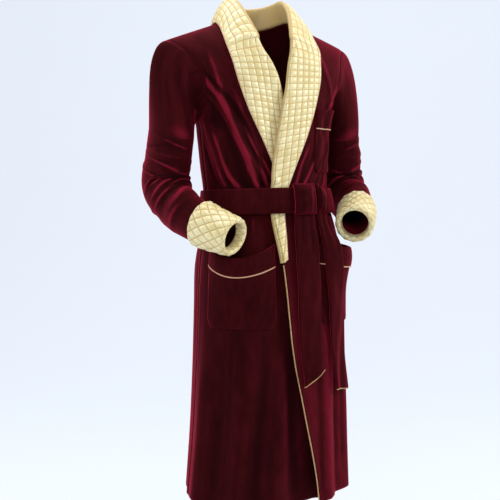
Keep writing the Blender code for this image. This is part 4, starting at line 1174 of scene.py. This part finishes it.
def belt_reach(tree, degrees, z):
    """How far the dressed body reaches from its axis in a direction."""
    turn = math.radians(degrees)
    out = Vector((math.sin(turn), -math.cos(turn), 0))
    axis = Vector((*BELT_AXIS, z))
    hit, _, _, distance = tree.ray_cast(axis + out * BELT_REACH, -out, BELT_REACH)
    return BELT_REACH - distance if hit else LEAST_REACH


BELT_CELLS = 360
BELT_ROWS = 30
PROBE_CELLS = 120
PROBE_ROWS = 7
# The knot's direction and the half breadth of its pull, in degrees
KNOT_DEGREES = 15
PULL_BREADTH = 26


def belt_height(turn, down):
    """The belt's height, down from its upper edge (0) to its lower one (1)."""
    drop = BELT_SIDE_DROP * (1 - np.cos(turn)) / 2
    return BELT_MIDDLE - drop + BELT_HEIGHT * (0.5 - down)


def make_belt(made):
    names = ("back", "front_right", "front_left", "collar_right", "collar_left")
    tree = tree_of(*((made[name][0], False) for name in names))
    share = np.linspace(0.0, 1.0, PROBE_ROWS)
    probed = np.arange(PROBE_CELLS + 1) * 360 / PROBE_CELLS
    reach = np.zeros((PROBE_ROWS, PROBE_CELLS))
    for row, k in np.ndindex(reach.shape):
        z = belt_height(math.radians(probed[k]), share[row])
        reach[row, k] = max(
            belt_reach(tree, probed[k] + d, z + dz)
            for d in (-8, -4, 0, 4, 8) for dz in (-0.012, 0.0, 0.012))
    for _ in range(3):
        reach = (np.roll(reach, 1, 1) + 2 * reach + np.roll(reach, -1, 1)) / 4
        evened(reach, 1)
    fine = np.linspace(0.0, 1.0, BELT_ROWS + 1)
    degrees = np.arange(BELT_CELLS) * 360 / BELT_CELLS
    wide = np.stack([np.interp(degrees, probed, np.append(line, line[0])) for line in reach])
    near = np.stack([np.interp(fine, share, wide[:, k]) for k in range(BELT_CELLS)], 1)
    turn = np.radians(degrees)[None, :]
    fine = fine[:, None]
    out = np.stack([np.sin(turn), -np.cos(turn), 0 * turn], -1)
    away = turned(np.degrees(turn) - KNOT_DEGREES)
    pull = bump_of(away / PULL_BREADTH)
    lines = 0.0013 * pull * np.sin(2 * np.pi * (2.2 * fine + 0.012 * away))
    slack = 0.0008 * np.sin(np.radians(7 * away)) * np.sin(np.pi * fine)
    hidden = np.array([*BELT_AXIS, 0.0]) + out * (near + 0.0010)[..., None]
    hidden[..., 2] = belt_height(turn, fine)
    edge = np.minimum(fine, 1 - fine)
    thick = BELT_THICK * rounded(edge / 0.05 + 0.15)
    swell = thick + 0.0025 * np.sin(np.pi * fine) + (lines + slack) * smooth(0.0, 0.15, edge)
    made["belt_band"] = (hidden + out * swell[..., None], hidden)


def belt_face(tree, x, z):
    """The y just in front of the belt at a place, or at the nearest place on it."""
    return min(
        nearest_face(tree, x + dx, min(max(z + dz, BELT_MIDDLE - BELT_FEEL), BELT_MIDDLE + BELT_FEEL))
        for dx in (-0.006, 0, 0.006) for dz in (-0.006, 0, 0.006)) - BELT_SEAT


def eased(count, strength=0.35):
    """Steps from 0 to 1 that lie closer together toward both ends."""
    t = np.linspace(0.0, 1.0, count + 1)
    return t - strength / (2 * np.pi) * np.sin(2 * np.pi * t) * 1.6


KNOT_CELLS = 44


def make_knot(made):
    tree = tree_of((made["belt_band"][0], True))
    for name, sizes in (("belt_knot", KNOT_TURN), ("belt_knot_pass", KNOT_PASS)):
        x0, x1, z0, z1, depth, slant = sizes
        v = eased(KNOT_CELLS)[:, None]
        u = eased(KNOT_CELLS)[None, :]
        pinch = 1 - 0.10 * np.sin(np.pi * v)
        x = lerp(x0, x1, 0.5 + (u - 0.5) * pinch)
        z = lerp(z0, z1, v) + slant * (u - 0.5) * 2
        rear = np.stack([x, 0 * x, z], -1)
        for spot in np.ndindex(x.shape):
            rear[spot][1] = belt_face(tree, x[spot], z[spot]) - 0.0003
        dome = np.sqrt(np.maximum(1 - np.abs(2 * u - 1) ** 2.6, 0)) * np.sqrt(
            np.maximum(1 - np.abs(2 * v - 1) ** 3.0, 0))
        crease = 0.0022 * np.cos(2 * np.pi * 1.5 * (u - 0.5 + 0.12 * v)) * dome
        fine = 0.0011 * np.sin(2 * np.pi * (3.1 * u + 0.5 * v + 0.15 * np.sin(4 * v))) * dome
        front = rear.copy()
        front[..., 1] -= 0.004 + depth * dome + crease + fine
        made[name] = (front, rear)


TAIL_CELLS = (150, 26)


def tail_place(name, table, u, v):
    """x and z of places on a hanging end, u across and v down from the knot."""
    low, high = table.rows[0][0], table.rows[-1][0]
    slant = TAIL_END_SLANT[name] * v ** 6 + TAIL_TOP_SLANT[name] * (1 - v) ** 6
    z = lerp(high, low, v) + slant * (u - 0.5)
    return table.at("x", z) + table.at("breadth", z) * (u - 0.5), z


def make_tails(made):
    names = ("front_right", "front_left", "pocket_left", "band_left", "collar_left")
    tree = tree_of(*((made[name][0], False) for name in names))
    belt = tree_of((made["belt_band"][0], True))
    for name, table in (("belt_tail_front", TAIL_FRONT), ("belt_tail_back", TAIL_BACK)):
        coarse_v = np.linspace(0.0, 1.0, 33)
        coarse_u = np.linspace(0.0, 1.0, 9)
        x, z = tail_place(name, table, *np.broadcast_arrays(coarse_u[None, :], coarse_v[:, None]))
        reach = np.zeros(x.shape)
        tied = np.zeros(x.shape)
        for spot in np.ndindex(x.shape):
            reach[spot] = min(
                nearest_face(tree, x[spot] + dx, z[spot] + dz)
                for dx in (-0.012, -0.006, 0, 0.006, 0.012) for dz in (-0.020, -0.010, 0, 0.010, 0.020))
            tied[spot] = belt_face(belt, x[spot], z[spot])
        evened(reach, 2)
        wave = 0.0035 * (1 - np.cos(2 * np.pi * (coarse_v * 1.3 + 0.1))) * smooth(0.1, 0.5, coarse_v)
        hung = reach - BELT_SEAT - 0.0006 - wave[:, None]
        y = lerp(np.minimum(hung, tied), hung, smooth(0.0, 0.25, coarse_v)[:, None])
        fine_v = np.linspace(0.0, 1.0, TAIL_CELLS[0] + 1)
        fine_u = eased(TAIL_CELLS[1])
        wide = np.stack([np.interp(fine_u, coarse_u, line) for line in y])
        depth = np.stack([np.interp(fine_v, coarse_v, wide[:, k]) for k in range(len(fine_u))], 1)
        evened(depth, 6)
        u, v = np.broadcast_arrays(fine_u[None, :], fine_v[:, None])
        x, z = tail_place(name, table, u, v)
        curl = 0.0030 * np.sin(np.pi * u) * smooth(0.0, 0.2, v)
        gathers = 0.0016 * np.sin(2 * np.pi * 2.5 * u) * (1 - smooth(0.0, 0.35, v))
        ripple = 0.0010 * np.sin(2 * np.pi * (1.4 * u + 2.3 * v)) * smooth(0.2, 0.5, v)
        edge = np.minimum(u, 1 - u)
        thick = BELT_THICK * rounded(edge / 0.06 + 0.15)
        hidden = np.stack([x, depth - curl, z], -1)
        outer = hidden.copy()
        outer[..., 1] -= thick + (gathers + ripple) * smooth(0.0, 0.2, edge)
        made[name] = (outer, hidden)
        line = (outer[-1] + hidden[-1]) / 2
        line[:, 2] -= PIPING / 2 + PIPING_GAP
        made[name.replace("belt_tail", "tail_piping")] = line


def resampled(line, step):
    run = np.concatenate([[0], np.cumsum(length_of(np.diff(line, axis=0)))])
    even = np.linspace(0, run[-1], max(int(run[-1] / step), 2) + 1)
    return np.stack([np.interp(even, run, line[:, k]) for k in range(3)], -1)


CORD_SIDES = 10
CORD_LAY = 0.0075
CORD_STEP = 0.0013


def cord_points(line, radius, reference):
    """A twisted cord of two strands along a line, closed at its ends."""
    line = resampled(line, CORD_STEP)
    run = np.arange(len(line)) * CORD_STEP
    axis = unit(np.gradient(line, axis=0))
    first = unit(np.cross(axis, np.array(reference, float)[None, :]))
    second = np.cross(axis, first)
    turn = 2 * np.pi * np.arange(CORD_SIDES) / CORD_SIDES
    lobes = 1 + 0.12 * np.cos(2 * (turn[None, :] - 2 * np.pi * run[:, None] / CORD_LAY)) - 0.06
    ring = first[:, None] * np.cos(turn)[None, :, None] + second[:, None] * np.sin(turn)[None, :, None]
    points = line[:, None] + ring * (radius * lobes)[..., None]
    shut = np.repeat(line[:1, None], CORD_SIDES, 1)
    shut_end = np.repeat(line[-1:, None], CORD_SIDES, 1)
    return np.concatenate([shut, points, shut_end])


def make_cords(made):
    outer, inner = made["front_left"]
    piped = int(np.sum(outer[:, 0, 2] < CORD_TOP))
    middle = (outer[:piped, 0] + inner[:piped, 0]) / 2
    away = unit(outer[:piped, 0] - outer[:piped, 3])
    made["front_piping"] = middle + away * (PIPING / 2 + 0.0004)


EDGE_CORD = 0.0028
CUFF_CORD = 0.0016


def cord_mesh(name, line, thickness, reference):
    points = cord_points(line, thickness / 2, reference)
    rows = len(points)
    strand = np.arange(CORD_SIDES + 1)[None, :] / CORD_SIDES + np.zeros((rows, 1))
    run = (np.arange(rows)[:, None] - 1) * CORD_STEP / CORD_LAY + np.zeros((1, CORD_SIDES + 1))
    item = sheet_mesh(name, points, True, quilt=(strand, run))
    mesh = bmesh.new()
    mesh.from_mesh(item.data)
    bmesh.ops.remove_doubles(mesh, verts=mesh.verts[:], dist=1e-6)
    bmesh.ops.recalc_face_normals(mesh, faces=mesh.faces[:])
    mesh.to_mesh(item.data)
    mesh.free()
    return item


def outward_sign(outer, hidden, closed):
    """Whether a grid's own normals point away from its hidden face."""
    return 1 if np.sum(normals_of(outer, closed) * (outer - hidden)) > 0 else -1


def dress(item, node, slot, finishes):
    """Puts a finished piece in its solid's place."""
    item.data.materials.append(finishes[slot])
    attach(item, "root")
    if node:
        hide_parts(node)
    return item


def sew(made, finishes):
    """Makes the pieces; a velvet one's map "quilt" holds its ridges and valleys, from which its finish
    paints highlights and shade.
    """
    pieces = {}

    def sew_pile(name, nap_and_painted_ridge_shading, closed, flip):
        item = sheet_mesh(name + "_velvet", made[name][0], closed, flip=flip, quilt=(nap_and_painted_ridge_shading, nap_and_painted_ridge_shading))
        pieces[name] = dress(thicken(item, VELVET), name, "velvet", finishes)

    # Ridge values paint highlights on the velvet's ridges and shade in its valleys, fainter on the back and
    # the skirts; the skirt value paints shade on the right front's skirt and light on the left front's.
    for name, upper, skirt_painted_shading in (("back", 0.55, 0.0), ("front_right", 1.0, -0.45), ("front_left", 1.0, 0.65)):
        flip = name != "front_left"
        height = smooth(-0.66, -0.42, made[name][0][..., 2])
        nap_and_painted_ridge_shading = ridges_of(made[name][0], False, -1 if flip else 1)
        sew_pile(name, nap_and_painted_ridge_shading * lerp(0.40, upper, height) + skirt_painted_shading * (1 - height), False, flip)
    for name in ("sleeve_right", "sleeve_left"):
        flip = name == "sleeve_left"
        # Painted highlights and shade are stronger on the sleeve from about the elbow down, fainter on the
        # upper sleeve.
        nap_and_painted_ridge_shading = ridges_of(made[name][0], True, -1 if flip else 1)
        height = np.concatenate([made[name][0], made[name][0][:, :1]], axis=1)[..., 2]
        sew_pile(name, nap_and_painted_ridge_shading * lerp(1.4, 0.45, smooth(-0.29, -0.23, height)), True, flip)
    for key in POCKETS:
        flip = key == "right"
        for name in ("pocket_" + key, "band_" + key):
            # The pockets' ridge values are lowered, which paints shade over them.
            sew_pile(name, ridges_of(made[name][0], False, -1 if flip else 1) - 0.25, False, flip)
    for kind, closed, thickness, reference, slot in (
            ("collar_", False, EDGE_CORD, (0, 0.3, 1), "pocket_cord"),
            ("cuff_", True, CUFF_CORD, (0, 1, 0.2), "satin")):
        for label in SIDE_NAMES.values():
            name = kind + label
            outer, hidden = made[name]
            item = sheet_mesh(name + "_satin", outer, closed, inner=hidden, quilt=made[name + "_quilt"])
            pieces[name] = dress(item, name, "satin", finishes)
            line = made[name + "_edge"]
            if closed:
                line = np.concatenate([line, line[:2]])
            edge = cord_mesh(name + "_edge", line, thickness, reference)
            pieces[name + "_edge"] = dress(edge, None, slot, finishes)
    for name in ("belt_band", "belt_knot", "belt_knot_pass", "belt_tail_front", "belt_tail_back"):
        outer, hidden = made[name]
        ring = name == "belt_band"
        # Fainter painted highlights and shade on the belt pieces.
        nap_and_painted_ridge_shading = 0.4 * ridges_of(outer, ring, outward_sign(outer, hidden, ring))
        item = sheet_mesh(name + "_velvet", outer, ring, inner=hidden, quilt=(nap_and_painted_ridge_shading, nap_and_painted_ridge_shading))
        pieces[name] = dress(item, name, "velvet", finishes)
    for slot, reference, names in (
            ("pocket_cord", (0, 0, 1), ["pocket_piping_" + key for key in ("right", "left", "chest")]),
            ("edge_cord", (0, 1, 0.1), ["front_piping", "tail_piping_front", "tail_piping_back"])):
        for name in names:
            cord = cord_mesh(name + "_cord", made[name], PIPING, reference)
            pieces[name] = dress(cord, name, slot, finishes)
    return pieces


class Value:
    """A number in a finish's nodes; working with it adds the Math nodes."""

    def __init__(self, finish, socket):
        self.finish = finish
        self.socket = socket

    def worked(self, operation, *others):
        terms = dict(enumerate((self,) + others))
        return self.finish.node("ShaderNodeMath", {"operation": operation}, terms)

    def __add__(self, other):
        return self.worked("ADD", other)

    __radd__ = __add__

    def __mul__(self, other):
        return self.worked("MULTIPLY", other)

    __rmul__ = __mul__

    def __sub__(self, other):
        return self.worked("SUBTRACT", other)

    def __rsub__(self, other):
        return self * -1 + other

    def to_nearest_line(self):
        """How far this lies from the nearest whole number."""
        return ((self + 0.5).worked("FRACT") - 0.5).worked("ABSOLUTE")

    def wave(self):
        """A wave from 0 to 1 that repeats with each whole number."""
        return (self * (2 * math.pi)).worked("COSINE") * 0.5 + 0.5

    def step(self, low, high):
        """Rises smoothly from 0 to 1 between the two values."""
        return self.finish.node(
            "ShaderNodeMapRange", {"interpolation_type": "SMOOTHSTEP"},
            {"Value": self, "From Min": low, "From Max": high})


class Finish:
    """A material and its nodes."""

    def __init__(self, name):
        self.material = bpy.data.materials.new(name)
        self.material.use_nodes = True
        self.tree = self.material.node_tree
        self.tree.nodes.clear()

    def node(self, kind, settings=None, inputs=None, output=0):
        made = self.tree.nodes.new(kind)
        for key, value in (settings or {}).items():
            setattr(made, key, value)
        for key, value in (inputs or {}).items():
            if isinstance(value, Value):
                self.tree.links.new(value.socket, made.inputs[key])
            else:
                made.inputs[key].default_value = value
        return Value(self, made.outputs[output])

    def map_of(self, name):
        """The two coordinates of a piece's own UV map."""
        place = self.node("ShaderNodeUVMap", {"uv_map": name})
        parts = [self.node("ShaderNodeSeparateXYZ", None, {0: place}, k) for k in (0, 1)]
        return parts[0], parts[1]

    def noise(self, u, v, detail=3.0, roughness=0.55):
        place = self.node("ShaderNodeCombineXYZ", None, {0: u, 1: v})
        return self.node(
            "ShaderNodeTexNoise", None,
            {"Vector": place, "Scale": 1.0, "Detail": detail, "Roughness": roughness})

    def blend(self, share, first, second):
        return self.node("ShaderNodeMix", {"data_type": "RGBA"}, {0: share, 6: first, 7: second}, 2)

    def bump(self, height, distance, strength=1.0):
        return self.node(
            "ShaderNodeBump", None, {"Height": height, "Distance": distance, "Strength": strength})

    def surface(self, **sockets):
        named = {key.replace("_", " ").replace("Ior", "IOR"): value for key, value in sockets.items()}
        shader = self.node("ShaderNodeBsdfPrincipled", None, named)
        end = self.tree.nodes.new("ShaderNodeOutputMaterial")
        self.tree.links.new(shader.socket, end.inputs[0])
        return self.material


def velvet_finish():
    """Short burgundy pile: its nap lies differently in soft patches, and it glows at its edges; highlights
    are painted on the ridges of its folds and shade in their valleys.
    """
    finish = Finish("burgundy velvet")
    u, v = finish.map_of("cloth")
    nap_and_painted_ridge_shading = finish.noise(u * 16.0, v * 5.0, 3.0)
    brushed = finish.noise(u * 90.0 + nap_and_painted_ridge_shading * 2.0, v * 26.0, 4.0, 0.6)
    pile = finish.noise(u * 1300.0, v * 900.0, 2.0, 0.7)
    # The "quilt" map holds ridge values: a highlight (lit) is painted on the ridges and shade (shaded) in
    # the valleys.
    ridge, _ = finish.map_of("quilt")
    down, raised = (0.018, 0.0012, 0.0015, 1), (0.046, 0.0025, 0.0040, 1)
    tips, lit, shaded = (0.064, 0.0034, 0.0064, 1), (0.190, 0.0080, 0.0220, 1), (0.008, 0.0007, 0.0009, 1)
    tone = (nap_and_painted_ridge_shading * 0.62 + brushed * 0.38).step(0.34, 0.68)
    colour = finish.blend(tone, down, raised)
    colour = finish.blend(pile.step(0.35, 0.75) * 0.25, colour, tips)
    # Painted highlight on the ridges
    painted_crest_highlight = ridge.step(0.28, 1.50) * (brushed + nap_and_painted_ridge_shading * 0.5 + 0.14)
    colour = finish.blend(painted_crest_highlight, colour, lit)
    # Painted shade in the valleys
    colour = finish.blend((ridge * -1).step(0.05, 1.2) * 0.75, colour, shaded)
    height = pile * 0.7 + brushed * 0.3
    return finish.surface(
        Base_Color=colour, Roughness=tone * -0.10 + 0.82,
        Normal=finish.bump(height, 0.0004, 0.6), Specular_IOR_Level=0.03,
        Sheen_Weight=1.0, Sheen_Roughness=0.38, Sheen_Tint=(0.50, 0.020, 0.056, 1))


def satin_finish():
    """Gold satin, quilted: fine floats across the cloth, and stitches along its lines; a sheen is painted
    along the floats and shade in the quilting grooves.
    """
    finish = Finish("gold quilted satin")
    u, v = finish.map_of("cloth")
    a, b = finish.map_of("quilt")
    near_a = a.to_nearest_line()
    near_b = b.to_nearest_line()
    in_a = 1 - near_a.step(0.015, 0.110)
    in_b = 1 - near_b.step(0.015, 0.110)
    dash_a = (b * 5.0).to_nearest_line().step(0.10, 0.20)
    dash_b = (a * 5.0).to_nearest_line().step(0.10, 0.20)
    groove = (in_a + in_b).step(0.0, 1.0)
    thread = (in_a * dash_a + in_b * dash_b).step(0.1, 0.9)
    shade = finish.noise(u * 22.0, v * 22.0, 3.0)
    floats_and_painted_sheen = finish.noise(u * 260.0, v * 2600.0, 2.0)
    gold, pale, sheen = (0.690, 0.560, 0.240, 1), (0.830, 0.740, 0.420, 1), (0.88, 0.83, 0.57, 1)
    painted_groove_shade, stitch = (0.440, 0.250, 0.050, 1), (0.800, 0.640, 0.300, 1)
    colour = finish.blend(shade.step(0.35, 0.68), gold, pale)
    # Painted sheen: pale streaks along the floats
    colour = finish.blend(floats_and_painted_sheen.step(0.30, 0.75) * 0.30, colour, sheen)
    # Painted shade in the quilting grooves
    colour = finish.blend(groove * 0.80, colour, painted_groove_shade)
    colour = finish.blend(thread * 0.30, colour, stitch)
    height = floats_and_painted_sheen * 0.10 - groove + thread * 0.7
    return finish.surface(
        Base_Color=colour, Roughness=floats_and_painted_sheen * 0.12 + 0.25 + groove * 0.2,
        Normal=finish.bump(height, 0.0007, 0.7), Specular_IOR_Level=0.55,
        Anisotropic=0.35, Sheen_Weight=0.15, Sheen_Roughness=0.4, Sheen_Tint=(1.0, 0.9, 0.65, 1))


def cord_finish(name, groove, strand, light):
    """Two twisted strands of shiny yarn, with shade painted where they meet."""
    finish = Finish(name)
    around, along = finish.map_of("quilt")
    twist = ((around - along) * 2.0).wave()
    yarn = ((around * 2.0 + along) * 6.0).wave()
    wear = finish.noise(around * 3.0, along * 1.7, 2.0)
    # Painted shade (groove) between the strands
    colour = finish.blend(twist.step(0.05, 0.75), groove, strand)
    colour = finish.blend(wear.step(0.35, 0.7) * 0.5, colour, light)
    height = twist * 0.7 + yarn * 0.3
    return finish.surface(
        Base_Color=colour, Roughness=yarn * 0.15 + 0.34,
        Normal=finish.bump(height, 0.0006, 0.8), Specular_IOR_Level=0.5,
        Sheen_Weight=0.2, Sheen_Roughness=0.4, Sheen_Tint=(1.0, 0.8, 0.6, 1))


def backdrop_finish():
    finish = Finish("pale backdrop")
    place = finish.node("ShaderNodeTexCoord", None, None, 3)
    grain = finish.node("ShaderNodeTexNoise", None, {"Vector": place, "Scale": 3.0, "Detail": 2.0})
    colour = finish.blend(grain, (0.30, 0.32, 0.35, 1), (0.31, 0.33, 0.36, 1))
    return finish.surface(
        Base_Color=colour, Roughness=grain * 0.04 + 0.9, Specular_IOR_Level=0.0,
        Emission_Color=(0.80, 0.85, 0.93, 1), Emission_Strength=0.68)


# The camera stands at the garment's right, a little below the chest
VIEW_TURN = math.radians(-25)
CAMERA_AWAY = 2.30
CAMERA_Z = -0.3475
AIM_Z = -0.560
AIM_ASIDE = -0.0225
LENS_MM = 66.24
FLOOR_Z = -1.46
BACKDROP_REACH = 9.0
BEND_START = 2.0
BEND_RUN = 3.0


def make_backdrop():
    """A pale floor that curves up into a wall behind."""
    mesh = bmesh.new()
    bmesh.ops.create_grid(mesh, x_segments=2, y_segments=60, size=BACKDROP_REACH)
    radius = BEND_RUN * 2 / math.pi
    for vert in mesh.verts:
        x, y, _ = vert.co
        bend = min(max((y - BEND_START) / BEND_RUN, 0.0), 1.0) * math.pi / 2
        rise = radius * (1 - math.cos(bend)) + max(y - BEND_START - BEND_RUN, 0.0)
        vert.co = (x, min(y, BEND_START) + radius * math.sin(bend), FLOOR_Z + rise)
    backdrop = object_of("backdrop", mesh)
    backdrop.rotation_euler.z = VIEW_TURN
    backdrop.data.materials.append(backdrop_finish())


def place_light(name, place, aim, size, power, colour):
    lamp = bpy.data.lights.new(name, "AREA")
    lamp.shape = "RECTANGLE"
    lamp.size, lamp.size_y = size
    lamp.energy = power
    lamp.color = colour
    light = bpy.data.objects.new(name, lamp)
    light.location = place
    light.rotation_euler = (Vector(aim) - Vector(place)).to_track_quat("-Z", "Y").to_euler()
    bpy.context.scene.collection.objects.link(light)


def set_lights():
    middle = (0, 0, -0.5)
    place_light("key", (3.0, -2.0, 1.5), middle, (1.3, 1.8), 115, (1.0, 0.98, 0.96))
    place_light("fill", (-2.0, -3.0, 0.9), (0, 0, -0.2), (1.6, 1.6), 44, (0.98, 0.98, 1.0))
    place_light("side", (-2.8, 1.0, 0.8), middle, (1.2, 2.2), 40, (1.0, 1.0, 1.0))
    place_light("above", (-0.3, 0.4, 2.4), (0, 0, 0), (2.0, 1.4), 62, (1.0, 1.0, 1.0))
    world = bpy.data.worlds.new("studio")
    world.use_nodes = True
    background = world.node_tree.nodes["Background"]
    background.inputs["Color"].default_value = (0.82, 0.89, 0.98, 1)
    background.inputs["Strength"].default_value = 0.30
    bpy.context.scene.world = world
    bpy.context.scene.view_settings.view_transform = "Standard"


def set_camera():
    right = Vector((math.cos(VIEW_TURN), math.sin(VIEW_TURN), 0))
    ahead = Vector((-math.sin(VIEW_TURN), math.cos(VIEW_TURN), 0))
    camera = bpy.data.objects.new("camera", bpy.data.cameras.new("camera"))
    camera.data.sensor_width = 36.0
    camera.data.lens = LENS_MM
    place = ahead * -CAMERA_AWAY + Vector((0, 0, CAMERA_Z))
    aim = right * AIM_ASIDE + Vector((0, 0, AIM_Z))
    camera.location = place
    camera.rotation_euler = (aim - place).to_track_quat("-Z", "Y").to_euler()
    bpy.context.scene.collection.objects.link(camera)
    bpy.context.scene.camera = camera


set_camera()
set_lights()
make_backdrop()
made = {}
make_panels(made)
make_sleeves(made)
make_cuffs(made)
make_collars(made)
make_pockets(made)
make_belt(made)
make_knot(made)
make_tails(made)
make_cords(made)
finishes = {
    "velvet": velvet_finish(),
    "satin": satin_finish(),
    "pocket_cord": cord_finish(
        "pink gold cord", (0.30, 0.11, 0.05, 1), (0.76, 0.42, 0.24, 1), (0.92, 0.62, 0.40, 1)),
    "edge_cord": cord_finish(
        "gold cord", (0.22, 0.11, 0.03, 1), (0.58, 0.37, 0.13, 1), (0.80, 0.56, 0.25, 1)),
}
sew(made, finishes)
